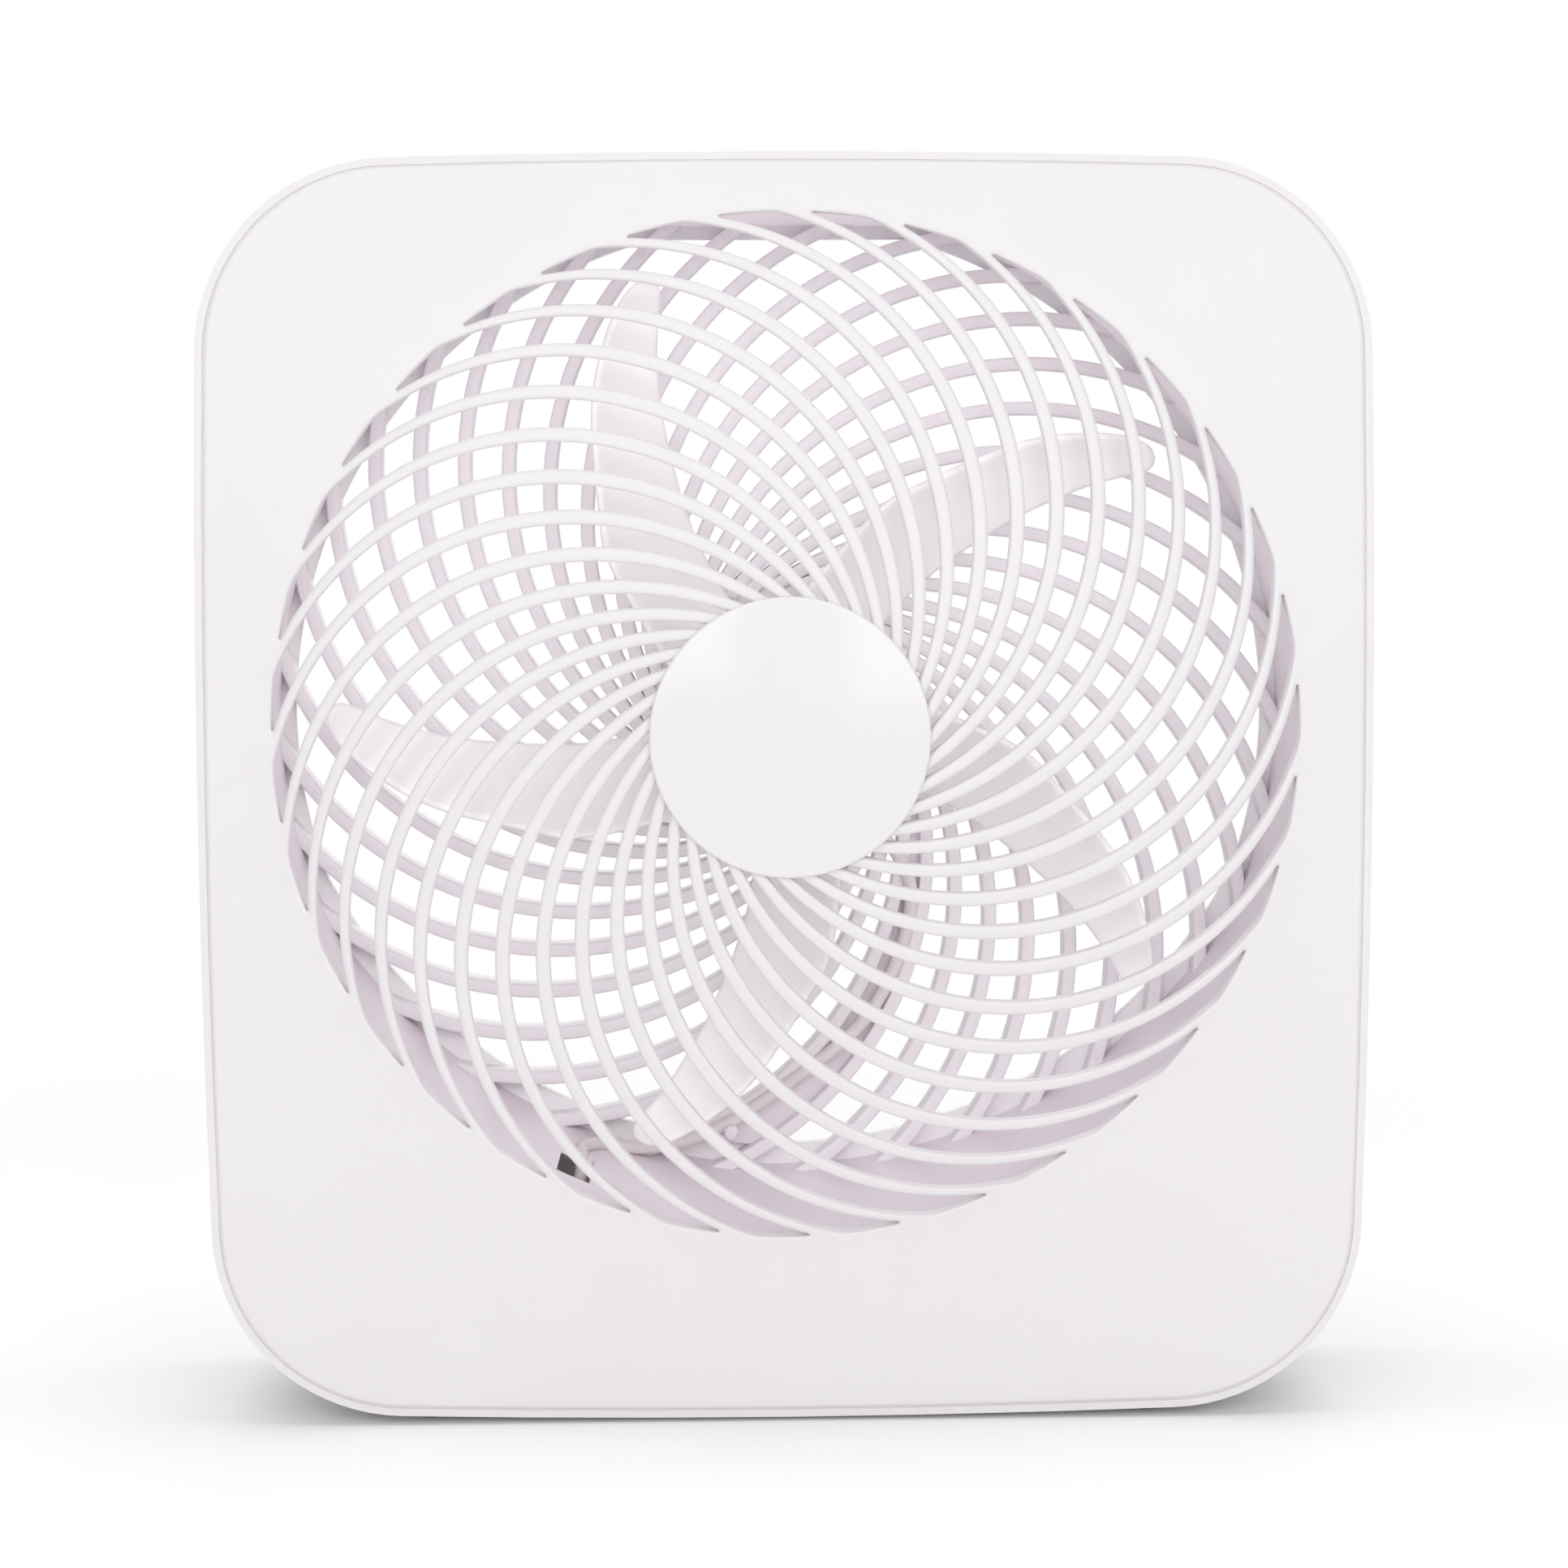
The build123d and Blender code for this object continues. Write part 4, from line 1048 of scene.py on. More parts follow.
@dataclass(frozen=True)
class RearGrille:
    """Rear grille: opposed spiral ribs, flange with its two sills, motor plate and the lead's peg."""

    spiral: Spiral = Spiral(0.1161, 0.0827, 111.15, 1)
    rib_width: float = 0.0045
    rib_steps: int = 72
    rib_overlap: float = 0.002
    rib_sharp: float = 40.0
    edge_round: float = 0.0009
    edge_round_steps: int = 3
    wall_overlap: float = 0.0004
    plate: float = 0.044
    plate_depth: float = 0.005
    plate_soft: float = 0.0006
    plate_steps: int = 96
    flange: float = 0.17
    flange_depth: float = 0.0025
    flange_steps: int = 160
    spigot: float = 0.1668
    spigot_soft: float = 0.0004
    opening: float = 0.162
    opening_soft: float = 0.0007
    opening_soft_share: float = 0.3
    opening_steps: tuple[int, ...] = (64, 16, 40)
    sill_flat: float = 0.1565
    sill_arc: float = 0.1722
    sill_rise: float = 0.0249
    bore: float = 0.008
    bore_steps: int = 40
    screw_circle: float = 0.022
    screw_turns: tuple[float, ...] = (0.0, 90.0, 180.0, 270.0)
    screw_hole: float = 0.0017
    screw_steps: int = 20
    peg: Point = (-0.0174, -0.1406)
    peg_radius: float = 0.0024
    peg_height: float = 0.007
    peg_root: float = 0.002
    peg_tip: float = 0.0012
    peg_tip_steps: int = 5
    peg_steps: int = 24
    mark_reach: float = 0.158
    mark_radius: float = 0.0012
    mark_steps: int = 14
    mark_rings: tuple[Point, ...] = ((0.0, 0.0004), (0.0, -0.00015), (-0.00022, -0.0002), (-0.0004, -0.00003))
    channel_rib: int = 22
    channel_start: float = 0.045
    channel_step: float = 0.0025
    channel_count: int = 42
    channel_front: float = 0.006
    channel_back: float = 0.0004

    # Pieces take the inner moulding's painted shade unless given another finish.
    def place(self, name: str, mesh: Mesh, finish: Finish = Finishes.INNER_PAINTED_SHADE, sharp: float = SHARP) -> None:
        """Puts one piece of the grille in place of its solid."""
        add_piece(name, mesh, finish, Body.CASING, ["rear_grille"], sharp)

    def ribs(self, pattern: Pattern) -> None:
        """Sweeps and repeats the ribs.

        Args:
            pattern: trees that repeat them.
        """
        plan, (x, z) = self.spiral, self.spiral.centre(0)
        start = plan.angle(0, self.plate - self.rib_overlap)
        end = plan.angle(0, FAN.duct_radius + self.rib_overlap)
        # The ribs take the inner moulding's painted shade.
        mesh = pattern.bake(
            pattern.ribs, bpy.data.meshes.new("empty"), Finishes.INNER_PAINTED_SHADE, Count=plan.count,
            Steps=self.rib_steps, Arc_Radius=plan.radius,
            Arc_Centre=(x, (FAN.rib_front_y + FAN.rib_back_y) / 2, z), Start_Angle=start,
            Sweep=wrap(end - start), Rib_Width=self.rib_width, Rib_Depth=FAN.rib_back_y - FAN.rib_front_y,
            Edge_Round=self.edge_round, Edge_Steps=self.edge_round_steps,
            Wall_Radius=FAN.duct_radius + self.wall_overlap)
        self.place("rear_ribs", seal([mesh], "rear_ribs"), sharp=self.rib_sharp)

    def marks(self, pattern: Pattern) -> None:
        """Repeats the small round pin mark near each rib's outer end.

        Args:
            pattern: trees that repeat it.
        """
        shell, spot = Shell(), self.spiral.at(0, self.mark_reach)
        shell.plug([
            shell.ring(circle(self.mark_radius + grow, self.mark_steps, spot), FAN.rib_front_y + rise)
            for grow, rise in self.mark_rings
        ])
        # The pin marks take the inner moulding's painted shade.
        mesh = pattern.bake(pattern.cells, shell.cell("pin_mark"), Finishes.INNER_PAINTED_SHADE, Count=self.spiral.count)
        self.place("rear_pin_marks", seal([mesh], "rear_pin_marks"))

    def air_edge(self, inset: float) -> Loop:
        """Edge of the rear opening: round, with a straight upper sill and a shallow lower one.

        Args:
            inset: distance that the edge is moved out into the flange.

        Returns:
            The loop, counter-clockwise seen from the front.
        """
        ring, flat, arc = self.opening + inset, self.sill_flat + inset, self.sill_arc + inset
        sides, upper, lower = self.opening_steps
        top = math.acos(flat / ring)
        low = circles_meet(AXIS, ring, (0.0, self.sill_rise), arc, (ring, -ring))
        low_angle = math.atan2(low[1], low[0])
        swing = math.atan2(low[1] - self.sill_rise, low[0])
        loop = []
        for i in range(sides):
            a = low_angle + (math.pi / 2 - top - low_angle) * i / sides
            loop.append((ring * math.cos(a), ring * math.sin(a)))
        reach = ring * math.sin(top)
        loop += [(reach * (1 - 2 * i / upper), flat) for i in range(upper)]
        loop += [(-x, z) for x, z in [(reach, flat), *reversed(loop[1:sides])]]
        for i in range(lower):
            a = math.pi - swing + (2 * swing + math.pi) * i / lower
            loop.append((arc * math.cos(a), self.sill_rise + arc * math.sin(a)))
        return loop

    def flange_ring(self) -> None:
        """Builds the flange, its spigot in the back and the soft edge of the opening."""
        shell, soft, end = Shell(), self.opening_soft, self.spigot_soft
        front, back, part = FAN.inner_back - self.flange_depth, FAN.back_y, soft * self.opening_soft_share
        edges = ((soft, front), (part, front + part), (0.0, front + soft), (0.0, back - soft),
                 (part, back - part), (soft, back))
        shell.stack([shell.ring(self.air_edge(inset), y) for inset, y in edges])
        radii = (self.flange, self.spigot, self.spigot - end)
        wide, slim, rim = (circle(radius, self.flange_steps) for radius in radii)
        shell.fill(wide, [self.air_edge(soft)], front)
        shell.fill(rim, [self.air_edge(soft)], back)
        outside = ((wide, front), (wide, FAN.inner_back), (slim, FAN.inner_back), (slim, back - end),
                   (rim, back))
        shell.stack([shell.ring(loop, y) for loop, y in outside])
        self.place("rear_flange", shell.mesh("rear_flange"))

    def motor_plate(self) -> None:
        """Builds the plate that carries the motor, with its bore and screw holes."""
        shell, steps = Shell(), self.plate_steps
        wide, slim = circle(self.plate, steps), circle(self.plate - self.plate_soft, steps)
        front, back = FAN.motor_seat, FAN.motor_seat + self.plate_depth
        holes = [circle(self.bore, self.bore_steps)]
        for turn in self.screw_turns:
            holes.append(circle(self.screw_hole, self.screw_steps, bearing(self.screw_circle, turn)))
        edge = ((slim, front), (wide, front + self.plate_soft), (wide, back - self.plate_soft), (slim, back))
        shell.stack([shell.ring(loop, y) for loop, y in edge])
        for y in (front, back):
            shell.fill(slim, holes, y)
        for hole in holes:
            shell.bridge(shell.ring(hole, front), shell.ring(hole, back))
        self.place("motor_plate", shell.mesh("motor_plate"))

    def lead_peg(self) -> None:
        """Builds the round peg that the motor lead passes."""
        shell, profile = Shell(), [(self.peg_radius, self.peg_root)]
        for inset, drop in reversed(quarter_round(self.peg_radius, self.peg_tip, self.peg_tip_steps)[1:]):
            profile.append((self.peg_radius - inset, drop - self.peg_height))
        rings = [(circle(radius, self.peg_steps, self.peg), FAN.rib_front_y + y) for radius, y in profile]
        shell.plug([shell.ring(loop, y) for loop, y in rings])
        self.place("lead_peg", shell.mesh("lead_peg"))

    def lead_channel(self) -> None:
        """Builds the floor that closes the gap between the two ribs beside the motor lead."""
        shell, first = Shell(), self.channel_rib
        reaches = [self.channel_start + self.channel_step * i for i in range(self.channel_count)]
        near, far = ([self.spiral.at(rib, reach) for reach in reaches] for rib in (first, first + 1))
        front, back = FAN.rib_back_y - self.channel_front, FAN.rib_back_y - self.channel_back
        rows = [shell.ring(row, y) for row, y in ((near, front), (far, front), (far, back), (near, back))]
        for row, after in zip(rows, [*rows[1:], rows[0]]):
            shell.bridge(row, after, closed=False)
        shell.faces += [tuple(row[end] for row in rows) for end in (0, -1)]
        # The channel floor takes the duct wall's painted shade.
        self.place("lead_channel", shell.mesh("lead_channel"), Finishes.WALL_PAINTED_SHADE)

    def build(self, pattern: Pattern) -> None:
        """Builds the rear grille in place of its solid.

        Args:
            pattern: trees that repeat its ribs and marks.
        """
        self.ribs(pattern)
        self.lead_channel()
        self.marks(pattern)
        self.flange_ring()
        self.motor_plate()
        self.lead_peg()


@dataclass(frozen=True)
class Duct:
    """Wall about the impeller, round in front, with the hole that the motor lead leaves by."""

    front: float = 0.164
    back: float = 0.1665
    back_flat: float = 0.1607
    back_arc: float = 0.179
    arc_rise: float = 0.0249
    least_rise: float = 0.1
    wall: float = 0.0024
    front_y: float = -0.0245
    back_y: float = 0.0523
    soft: float = 0.0006
    steps: int = 240
    hole_turn: float = 25.3
    hole_half: float = 2.07
    hole_front_y: float = -0.0033
    hole_back_y: float = 0.0235
    hole_steps: int = 3

    def reach(self, turn: float, y: float) -> float:
        """Finds the wall's inside, which nears the rear opening's outline: round, flat above, shallow below.

        Args:
            turn: angle from +X towards +Z.
            y: depth in the fan.

        Returns:
            Its distance from the fan axis.
        """
        side, rise = math.cos(turn), math.sin(turn)
        arc = self.arc_rise * rise + math.sqrt(self.back_arc**2 - (self.arc_rise * side) ** 2)
        back = min(self.back, arc, self.back_flat / max(rise, self.least_rise))
        share = (y - self.front_y) / (self.back_y - self.front_y)
        return self.front + (back - self.front) * share

    def build(self) -> None:
        """Builds the wall as two grids with one gap, in place of its solid."""
        shell, last, hole = Shell(), self.steps, self.hole_steps
        low, high = (math.radians(270 - self.hole_turn + side * self.hole_half) for side in (-1, 1))
        turns = [high + (low + 2 * math.pi - high) * i / last for i in range(last + 1)]
        turns += [low + 2 * math.pi + (high - low) * i / hole for i in range(1, hole)]
        rows = [self.front_y, self.front_y + self.soft, self.hole_front_y, self.hole_back_y, self.back_y]
        hole_row, count = rows.index(self.hole_front_y), len(turns)
        grids = []
        for out, edge in ((0.0, self.soft), (self.wall, -self.soft)):
            grid = []
            for row, y in enumerate(rows):
                grow = out + (edge if row == 0 else 0.0)
                radii = [self.reach(a, y) + grow for a in turns]
                grid.append(shell.ring([(r * math.cos(a), r * math.sin(a)) for r, a in zip(radii, turns)], y))
            grids.append(grid)
        for grid in grids:
            for row, (first, second) in enumerate(zip(grid, grid[1:])):
                for i in range(last if row == hole_row else count):
                    j = (i + 1) % count
                    shell.faces.append((first[i], first[j], second[j], second[i]))
        for row in (0, -1):
            shell.bridge(grids[0][row], grids[1][row])
        gap = [*range(last, count), 0]
        around = [(hole_row, i) for i in gap] + [(hole_row + 1, i) for i in reversed(gap)]
        shell.bridge(*([grid[row][i] for row, i in around] for grid in grids))
        # The wall is coloured with painted shade.
        add_piece("duct_wall", shell.mesh("duct_wall"), Finishes.WALL_PAINTED_SHADE, Body.CASING, ["duct_ring"])


@dataclass(frozen=True)
class Impeller:
    """Five swept blades on a cup that covers the motor.

    The edges of a blade are given as radius and bearing of their corners, from root to tip.
    """

    count: int = 5
    tip: float = 0.149
    turn: float = -18.0
    middle_y: float = 0.0201
    root_pitch: float = 43.0
    tip_pitch: float = 27.0
    camber: float = 0.003
    sweep: float = 30.0
    chord: float = 0.07
    chord_taper: float = 0.15
    half_thick: float = 0.0013
    edge_round: float = 0.0013
    lip: float = 0.0003
    lip_width: float = 0.009
    lip_fade: float = 0.2
    trailing: tuple[Point, ...] = (
        (0.0358, -52.0), (0.0745, -30.0), (0.0903, -22.9), (0.1043, -17.7), (0.115, -14.3), (0.125, -10.9),
        (0.1345, -7.3), (0.1403, -5.0), (0.1452, -2.8), (0.148, -1.0), (0.1488, 0.2))
    leading: tuple[Point, ...] = (
        (0.0358, -4.0), (0.048, -6.9), (0.0626, -7.6), (0.076, -6.7), (0.09, -5.2), (0.1013, -4.0),
        (0.11, -2.9), (0.124, -1.0), (0.135, 0.8), (0.1405, 1.8), (0.1452, 2.2), (0.148, 1.4), (0.1488, 0.2))
    rows: int = 46
    columns: int = 18
    corner_steps: int = 12
    tip_spacing: float = 1.5
    slope_step: float = 1e-5
    blade_sharp: float = 50.0
    cup: float = 0.037
    cup_wall: float = 0.0025
    cup_front_y: float = 0.0041
    cup_length: float = 0.032
    cup_round: float = 0.002
    cup_round_steps: int = 6
    cup_steps: int = 96
    cup_sharp: float = 40.0
    rim_round: float = 0.0004
    boss: float = 0.008
    boss_length: float = 0.009
    bore: float = 0.003
    web_half: float = 0.001
    web_depth: float = 0.004
    web_overlap: float = 0.0005
    web_root: float = 0.0004

    def middle(self, x: float, z: float) -> float:
        """Finds the blade's middle surface.

        Args:
            x: distance to the right of the axis.
            z: distance over the axis.

        Returns:
            The surface's Y.
        """
        reach, turn = math.hypot(x, z), math.degrees(math.atan2(x, z))
        share = reach / self.tip
        pitch = math.radians(self.root_pitch + (self.tip_pitch - self.root_pitch) * share)
        along = math.radians(turn - self.turn - self.sweep * (share - 1)) * reach
        chord = self.chord - self.chord_taper * reach
        bulge = self.camber * (1 - (2 * along / math.cos(pitch) / chord) ** 2)
        return self.middle_y + along * math.tan(pitch) + bulge * math.cos(pitch)

    def normal(self, x: float, z: float) -> Vector:
        """Finds the direction across the blade, towards the back.

        Args:
            x: distance to the right of the axis.
            z: distance over the axis.

        Returns:
            The direction, of length one.
        """
        step = self.slope_step
        slope_x = (self.middle(x + step, z) - self.middle(x - step, z)) / (2 * step)
        slope_z = (self.middle(x, z + step) - self.middle(x, z - step)) / (2 * step)
        return Vector((-slope_x, 1.0, -slope_z)).normalized()

    def edge(self, corners: Sequence[Point]) -> Loop:
        """Smooth run through an edge's corners, closer spaced towards the tip.

        Args:
            corners: radius and bearing of each corner, from root to tip.

        Returns:
            Points from the fan axis.
        """
        knots = [Vector(bearing(radius, turn + self.turn)) for radius, turn in corners]
        fine = []
        for i in range(len(knots) - 1):
            a, b, c, d = knots[max(i - 1, 0)], knots[i], knots[i + 1], knots[min(i + 2, len(knots) - 1)]
            for step in range(self.corner_steps):
                t = step / self.corner_steps
                fine.append(0.5 * (2 * b + (c - a) * t + (2 * a - 5 * b + 4 * c - d) * t**2
                                   + (3 * b - a - 3 * c + d) * t**3))
        fine.append(knots[-1])
        runs = [0.0]
        for a, b in zip(fine, fine[1:]):
            runs.append(runs[-1] + (b - a).length)
        loop, at = [], 0
        for row in range(self.rows + 1):
            goal = runs[-1] * (1 - (1 - row / self.rows) ** self.tip_spacing)
            while at < len(runs) - 2 and runs[at + 1] < goal:
                at += 1
            share = (goal - runs[at]) / (runs[at + 1] - runs[at])
            loop.append(fine[at].lerp(fine[at + 1], min(1.0, share)).to_tuple())
        return loop

    def blade(self) -> Mesh:
        """One blade with round edges and a lip along its trailing edge, given from the fan axis.

        Returns:
            The closed mesh that the pattern repeats.
        """
        rear, front = self.edge(self.trailing), self.edge(self.leading)
        shell = Shell()
        sides: list[list[list[int]]] = [[], []]
        for row in range(self.rows + 1):
            for side in sides:
                side.append([])
            fade = min(1.0, (1 - row / self.rows) / self.lip_fade)
            for column in range(self.columns + 1):
                share = (1 - math.cos(math.pi * column / self.columns)) / 2
                spot = Vector(rear[row]).lerp(Vector(front[row]), share)
                near = clearance(spot, rear)
                rise = self.lip * max(0.0, 1 - near / self.lip_width) ** 2 * fade
                edge = min(1.0, min(near, clearance(spot, front)) / self.edge_round)
                half = self.half_thick * math.sqrt(1 - (1 - edge) ** 2)
                core = Vector((spot.x, self.middle(spot.x, spot.y) - rise, spot.y))
                for side, way in zip(sides, (-1, 1)):
                    side[-1].append(len(shell.points))
                    shell.points.append((core + self.normal(spot.x, spot.y) * half * way).to_tuple())
        for side in sides:
            for first, second in zip(side, side[1:]):
                shell.bridge(first, second, closed=False)
        shell.bridge(sides[0][0], sides[1][0], closed=False)
        return shell.mesh("blade")

    def hub(self, pattern: Pattern) -> Mesh:
        """Cup over the motor, with its boss and the webs between them.

        Args:
            pattern: trees that repeat the webs.

        Returns:
            The joined mesh.
        """
        front, inner, rim = self.cup_front_y, self.cup - self.cup_wall, self.rim_round
        back, floor, end = front + self.cup_length, front + self.cup_wall, front + self.boss_length
        profile = [(self.bore, front)]
        for inset, drop in quarter_round(self.cup_round, self.cup_round, self.cup_round_steps):
            profile.append((self.cup - inset, front + drop))
        profile += [(self.cup, back - rim), (self.cup - rim, back), (inner + rim, back), (inner, back - rim)]
        profile += [(inner, floor), (self.boss, floor), (self.boss, end), (self.bore, end)]
        profile.append((self.bore, front))
        cup, web = Shell(), Shell()
        cup.lathe(profile, self.cup_steps)
        low, high, half = self.boss - self.web_overlap, inner + self.web_overlap, self.web_half
        sides = [(low, -half), (high, -half), (high, half), (low, half)]
        rings = [web.ring(sides, y) for y in (floor - self.web_root, floor + self.web_depth)]
        web.bridge(*rings)
        web.faces += [tuple(ring) for ring in rings]
        webs = pattern.bake(pattern.cells, web.cell("cup_web"), Finishes.BLADE, Count=self.count)
        return seal([cup.mesh("impeller_cup"), webs], "impeller_hub")

    def build(self, pattern: Pattern) -> None:
        """Builds the impeller in place of its solid.

        Args:
            pattern: trees that repeat the blades.
        """
        blades = pattern.bake(pattern.cells, self.blade(), Finishes.BLADE, Count=self.count)
        for name, mesh, sharp in (
            ("impeller_blades", seal([blades], "impeller_blades"), self.blade_sharp),
            ("impeller_hub", self.hub(pattern), self.cup_sharp),
        ):
            add_piece(name, mesh, Finishes.BLADE, Body.ROTOR, ["impeller"], sharp)


@dataclass(frozen=True)
class Lead:
    """One insulated lead inside the casing. Its route is given from the fan axis."""

    name: str
    node: str
    finish: Finish
    radius: float
    route: tuple[Place, ...]
    order: int = 3
    run_steps: int = 6
    round_steps: int = 4

    def build(self) -> None:
        """Builds the lead as one smooth curve, in place of its solid."""
        curve = bpy.data.curves.new(self.name, "CURVE")
        curve.dimensions = "3D"
        spline = curve.splines.new("NURBS")
        spline.points.add(len(self.route) - 1)
        for knot, (x, y, z) in zip(spline.points, self.route):
            knot.co = (x, y, FAN.axis_height + z, 1.0)
        spline.order_u = self.order
        spline.use_endpoint_u = True
        spline.resolution_u = self.run_steps
        curve.bevel_depth = self.radius
        curve.bevel_resolution = self.round_steps
        curve.use_fill_caps = True
        curve.materials.append(self.finish.material())
        piece = bpy.data.objects.new(self.name, curve)
        bpy.context.scene.collection.objects.link(piece)
        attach(piece, Body.CASING.value)
        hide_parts(self.node)
        LOG.info("%s: lead of %d points", self.name, len(self.route))


LEADS = (
    Lead("motor_lead_sleeve", "motor_lead", Finishes.LEAD, 0.0022, (
        (0.0162, 0.0417, -0.0196), (0.0300, 0.0419, -0.0364), (0.0417, 0.0428, -0.0510),
        (0.0443, 0.0440, -0.0645), (0.0386, 0.0440, -0.0860), (0.0268, 0.0440, -0.1065),
        (0.0055, 0.0440, -0.1226), (-0.0165, 0.0430, -0.1380), (-0.0340, 0.0420, -0.1448),
        (-0.0480, 0.0412, -0.1466), (-0.0585, 0.0393, -0.1440), (-0.0640, 0.0318, -0.1425),
        (-0.0673, 0.0255, -0.1424), (-0.0672, 0.0212, -0.1440), (-0.0668, 0.0190, -0.1515),
        (-0.0740, 0.0178, -0.1630), (-0.0915, 0.0200, -0.1685), (-0.0960, 0.0262, -0.1690),
        (-0.0960, 0.0372, -0.1690))),
    Lead("inlet_lead_sleeve", "inlet_lead", Finishes.WIRE, 0.0016, (
        (-0.0340, 0.0361, -0.1920), (-0.0340, 0.0265, -0.1920), (-0.0385, 0.0222, -0.1917),
        (-0.0650, 0.0226, -0.1894), (-0.0915, 0.0236, -0.1873), (-0.0960, 0.0280, -0.1870),
        (-0.0960, 0.0372, -0.1870))),
    Lead("switch_lead_sleeve", "switch_lead", Finishes.WIRE, 0.0016, (
        (0.0340, 0.0361, -0.1920), (0.0340, 0.0205, -0.1920), (0.0295, 0.0162, -0.1919),
        (-0.0100, 0.0156, -0.1906), (-0.0600, 0.0153, -0.1889), (-0.1075, 0.0153, -0.1871),
        (-0.1120, 0.0195, -0.1870), (-0.1120, 0.0372, -0.1870))),
)


@dataclass(frozen=True)
class Lamp:
    """One soft rectangular lamp, which can be kept to some pieces and shaded by some only."""

    name: str
    place: Place
    aim: Place
    size: Point
    power: float
    lit: tuple[str, ...] = ()
    shaded_by: tuple[str, ...] = ()

    def group(self, label: str, pieces: Sequence[str]) -> bpy.types.Collection:
        """Makes a collection of pieces that the lamp is linked to.

        Args:
            label: what they are to the lamp.
            pieces: their names.

        Returns:
            The collection.
        """
        made = bpy.data.collections.new(f"{self.name}_{label}")
        for piece in pieces:
            made.objects.link(bpy.data.objects[piece])
        return made

    def build(self) -> None:
        """Hangs the lamp and links it to its pieces."""
        lamp = bpy.data.lights.new(self.name, "AREA")
        lamp.shape = "RECTANGLE"
        lamp.size, lamp.size_y = self.size
        lamp.energy = self.power
        holder = bpy.data.objects.new(self.name, lamp)
        bpy.context.scene.collection.objects.link(holder)
        facing = (Vector(self.aim) - Vector(self.place)).to_track_quat("-Z", "Y")
        holder.matrix_world = Matrix.Translation(self.place) @ facing.to_matrix().to_4x4()
        if self.lit:
            holder.light_linking.receiver_collection = self.group("lit", self.lit)
        if self.shaded_by:
            holder.light_linking.blocker_collection = self.group("shade", self.shaded_by)
        LOG.info("%s: lamp of %.1f W", self.name, self.power)


WALL_PIECES = ("duct_wall",)
ROTOR_PIECES = ("impeller_blades", "impeller_hub")
REAR_PIECES = ("rear_ribs", "rear_pin_marks", "rear_flange", "motor_plate", "lead_peg", "lead_channel",
               "duct_wall", "motor_lead_sleeve")
FAN_MIDDLE = (0.0, 0.0, 0.22)
LAMPS = (
    Lamp("floor_softbox", (-0.2, 0.0, 2.2), (-0.2, 0.01, 0.0), (4.0, 1.0), 24.0, ("floor",)),
    Lamp("left_softbox", (-1.126, -2.0, 1.247), (-1.126, 0.0, 1.247), (2.0, 2.0), 20.6),
    Lamp("right_softbox", (1.249, -2.0, 1.177), (1.249, 0.0, 1.177), (2.0, 2.0), 20.6),
    Lamp("back_softbox", (0.5, 2.4, 1.3), (0.0, 0.0, 0.25), (2.0, 2.0), 18.0),
    Lamp("top_softbox", (0.0, 0.1, 2.2), (0.0, 0.0, 0.0), (2.4, 2.4), 16.0),
    Lamp("blade_softbox", (-0.1, -1.9, 0.1), FAN_MIDDLE, (1.2, 1.2), 5.6, ROTOR_PIECES, ROTOR_PIECES),
    Lamp("blade_key", (-0.05, -1.9, 0.6), FAN_MIDDLE, (0.3, 0.3), 10.8, ROTOR_PIECES,
         (*ROTOR_PIECES, "front_panel_moulding")),
    Lamp("rear_softbox", (0.05, -1.3, 0.6), FAN_MIDDLE, (0.7, 0.7), 3.4, REAR_PIECES, REAR_PIECES),
    Lamp("wall_softbox", (0.0, -0.5, -0.35), FAN_MIDDLE, (0.5, 0.5), 2.6, WALL_PIECES, WALL_PIECES),
)


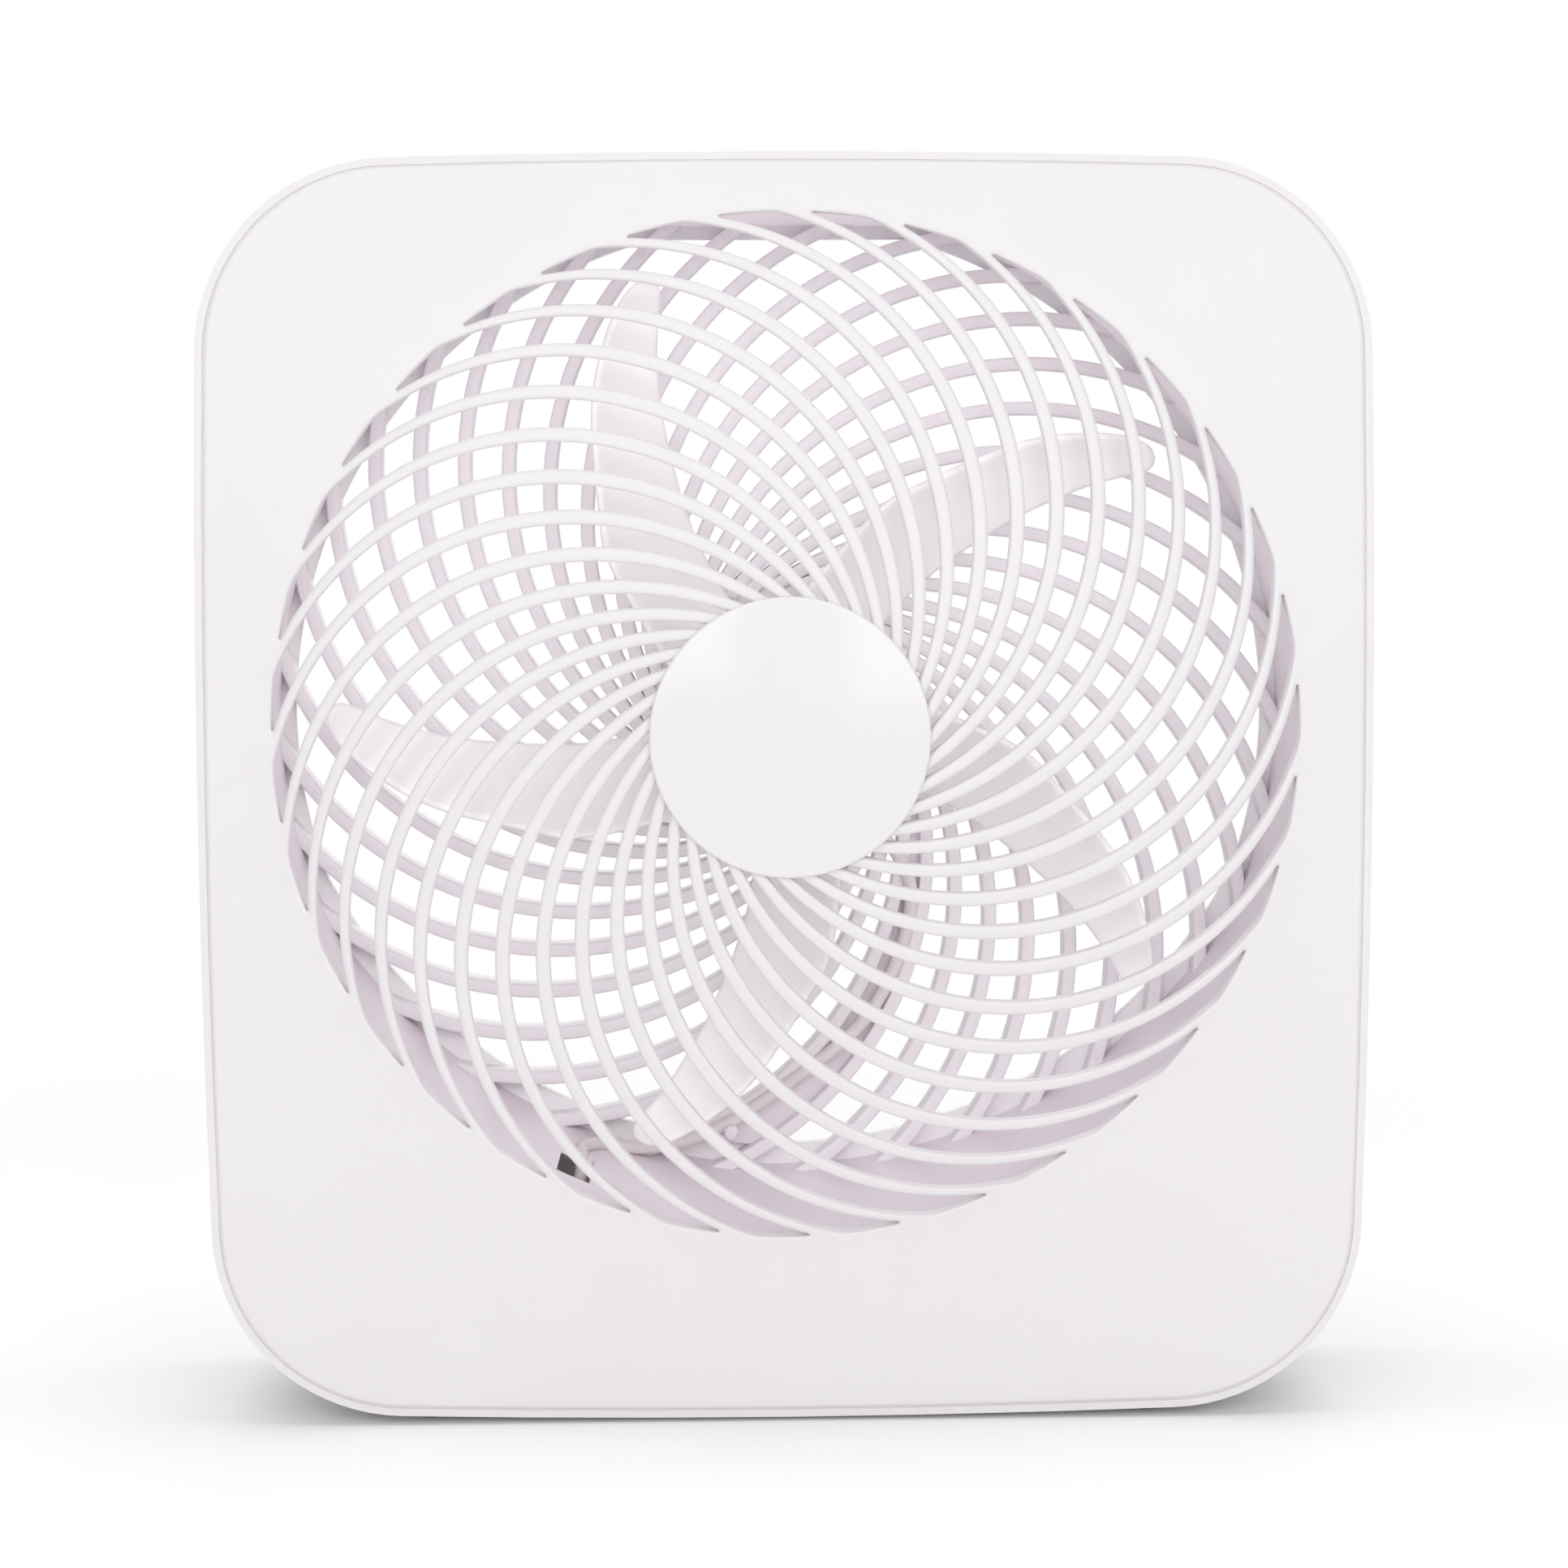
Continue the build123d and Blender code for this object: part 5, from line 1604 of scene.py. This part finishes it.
@dataclass(frozen=True)
class Studio:
    """Camera, pale floor, white surroundings and lamps."""

    eye: Place = (-0.0328, -1.1185, 0.3126)
    yaw: float = -1.66
    pitch: float = -5.67
    roll: float = 0.21
    sensor: float = 36.0
    focal_pixels: float = 4313.6
    frame_pixels: float = 1932.0
    surround: float = 0.3
    floor_half: float = 6.0
    floor_roughness: float = 0.9
    floor_glow: float = 0.03
    floor_tone: float = 0.9
    floor_bounce: Colour = (0.73, 0.713, 0.723)
    fade_near: float = 0.4
    fade_far: float = 0.8

    def camera(self) -> None:
        """Sets the camera at the viewing angle."""
        turn = (
            Matrix.Rotation(math.radians(self.yaw), 3, "Z")
            @ Matrix.Rotation(math.radians(self.pitch), 3, "X")
            @ Matrix.Rotation(math.radians(self.roll), 3, "Y")
        )
        right, ahead, up = (turn.col[i].copy() for i in range(3))
        lens = bpy.data.cameras.new("camera")
        lens.sensor_width = self.sensor
        lens.lens = self.sensor * self.focal_pixels / self.frame_pixels
        camera = bpy.data.objects.new("camera", lens)
        bpy.context.scene.collection.objects.link(camera)
        facing = Matrix((right, up, -ahead)).transposed().to_4x4()
        camera.matrix_world = Matrix.Translation(self.eye) @ facing
        bpy.context.scene.camera = camera

    def seen(self, graph: Graph) -> Socket:
        """Finds which rays show a surface and which only light the object.

        Args:
            graph: graph of the surface's material.

        Returns:
            An output that is one for rays that show it and zero for the others.
        """
        path = graph.add("ShaderNodeLightPath").outputs
        mirrored = graph.math("MAXIMUM", path["Is Glossy Ray"], path["Is Transmission Ray"])
        return graph.math("MAXIMUM", path["Is Camera Ray"], mirrored)

    def world(self) -> None:
        """White surroundings that light the object at a plain level."""
        world = bpy.data.worlds.new("white_surround")
        world.use_nodes = True
        bpy.context.scene.world = world
        graph, sky = Graph(world.node_tree), world.node_tree.nodes["Background"]
        shown = graph.math("MULTIPLY", self.seen(graph), 1.0 - self.surround)
        graph.set(sky.inputs["Color"], (1.0, 1.0, 1.0, 1.0))
        graph.set(sky.inputs["Strength"], graph.math("ADD", shown, self.surround))

    def floor_paint(self) -> bpy.types.Material:
        """Pale paint that fades to white round the fan, with a set bounce for rays that light the object.

        Returns:
            The material.
        """
        paint = bpy.data.materials.new("pale_floor")
        paint.use_nodes = True
        graph, shader = Graph(paint.node_tree), paint.node_tree.nodes["Principled BSDF"]
        place = graph.add("ShaderNodeTexCoord").outputs["Object"]
        reach = graph.add("ShaderNodeVectorMath", Vector=place)
        reach.operation = "LENGTH"
        fade = graph.add("ShaderNodeMapRange", Value=reach.outputs["Value"], From_Min=self.fade_near,
                         From_Max=self.fade_far)
        fade.interpolation_type = "SMOOTHSTEP"
        away, seen = fade.outputs["Result"], self.seen(graph)
        glow = graph.math("ADD", graph.math("MULTIPLY", away, 1.0 - self.floor_glow), self.floor_glow)
        faded = graph.math("MULTIPLY", away, self.floor_tone)
        grey = graph.add("ShaderNodeCombineColor")
        for socket, bounce in zip(grey.inputs, self.floor_bounce):
            shown = graph.math("SUBTRACT", self.floor_tone - bounce, faded)
            graph.set(socket, graph.math("ADD", graph.math("MULTIPLY", seen, shown), bounce))
        looks = {
            "Base Color": grey.outputs[0],
            "Roughness": self.floor_roughness,
            "Specular IOR Level": 0.0,
            "Emission Color": (1.0, 1.0, 1.0, 1.0),
            "Emission Strength": graph.math("MULTIPLY", seen, glow),
        }
        for name, value in looks.items():
            graph.set(shader.inputs[name], value)
        return paint

    def floor(self) -> None:
        """Pale floor that keeps the fan's shadow."""
        mesh, half = bpy.data.meshes.new("floor"), self.floor_half
        corners = [(-half, -half, 0.0), (half, -half, 0.0), (half, half, 0.0), (-half, half, 0.0)]
        mesh.from_pydata(corners, [], [(0, 1, 2, 3)])
        mesh.materials.append(self.floor_paint())
        floor = bpy.data.objects.new("floor", mesh)
        bpy.context.scene.collection.objects.link(floor)

    def build(self) -> None:
        """Builds the studio without its lamps."""
        bpy.context.scene.view_settings.view_transform = "Standard"
        self.camera()
        self.world()
        self.floor()

    def light(self) -> None:
        """Hangs the lamps, some of which are linked to pieces of the fan."""
        for lamp in LAMPS:
            lamp.build()


SOLIDS = (
    (Finishes.CASING, ("rear_casing",)),
    (Finishes.STEEL, ("shaft", "hub_washer", "hub_nut", "motor_screws", "panel_screws", "inlet_nut",
                      "board_screws")),
    (Finishes.MAGNET, ("rotor_magnet",)),
    (Finishes.MOTOR, ("motor_housing", "motor_end_cap")),
    (Finishes.BRONZE, ("front_bush", "rear_bush")),
    (Finishes.LAMINATION, ("stator_core",)),
    (Finishes.COPPER, ("stator_coils",)),
    (Finishes.BOARD, ("motor_board", "driver_board")),
    (Finishes.BLACK, ("switch_body", "power_inlet")),
    (Finishes.GLOSS, ("switch_rocker",)),
    (Finishes.BRASS, ("switch_terminals", "inlet_pin")),
    (Finishes.NYLON, ("board_plugs",)),
    (Finishes.CAN, ("board_capacitor",)),
    (Finishes.RUBBER, ("foot_front_left", "foot_front_right", "foot_rear_left", "foot_rear_right")),
)


def dress_solids() -> None:
    """Gives each solid that is shown as it is its finish."""
    for finish, nodes in SOLIDS:
        for node in nodes:
            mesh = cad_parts[node].data
            mesh.materials.clear()
            mesh.materials.append(finish.material())
            LOG.info("%s: solid in %s", node, finish.name)


def main() -> None:
    """Builds every piece of the fan and its studio."""
    logging.basicConfig(level=logging.INFO, format="%(message)s")
    studio, pattern = Studio(), Pattern()
    studio.build()
    FrontPanel().build(pattern)
    HubCap().build()
    RearGrille().build(pattern)
    Duct().build()
    Impeller().build(pattern)
    for lead in LEADS:
        lead.build()
    dress_solids()
    studio.light()


if __name__ == "__main__":
    main()
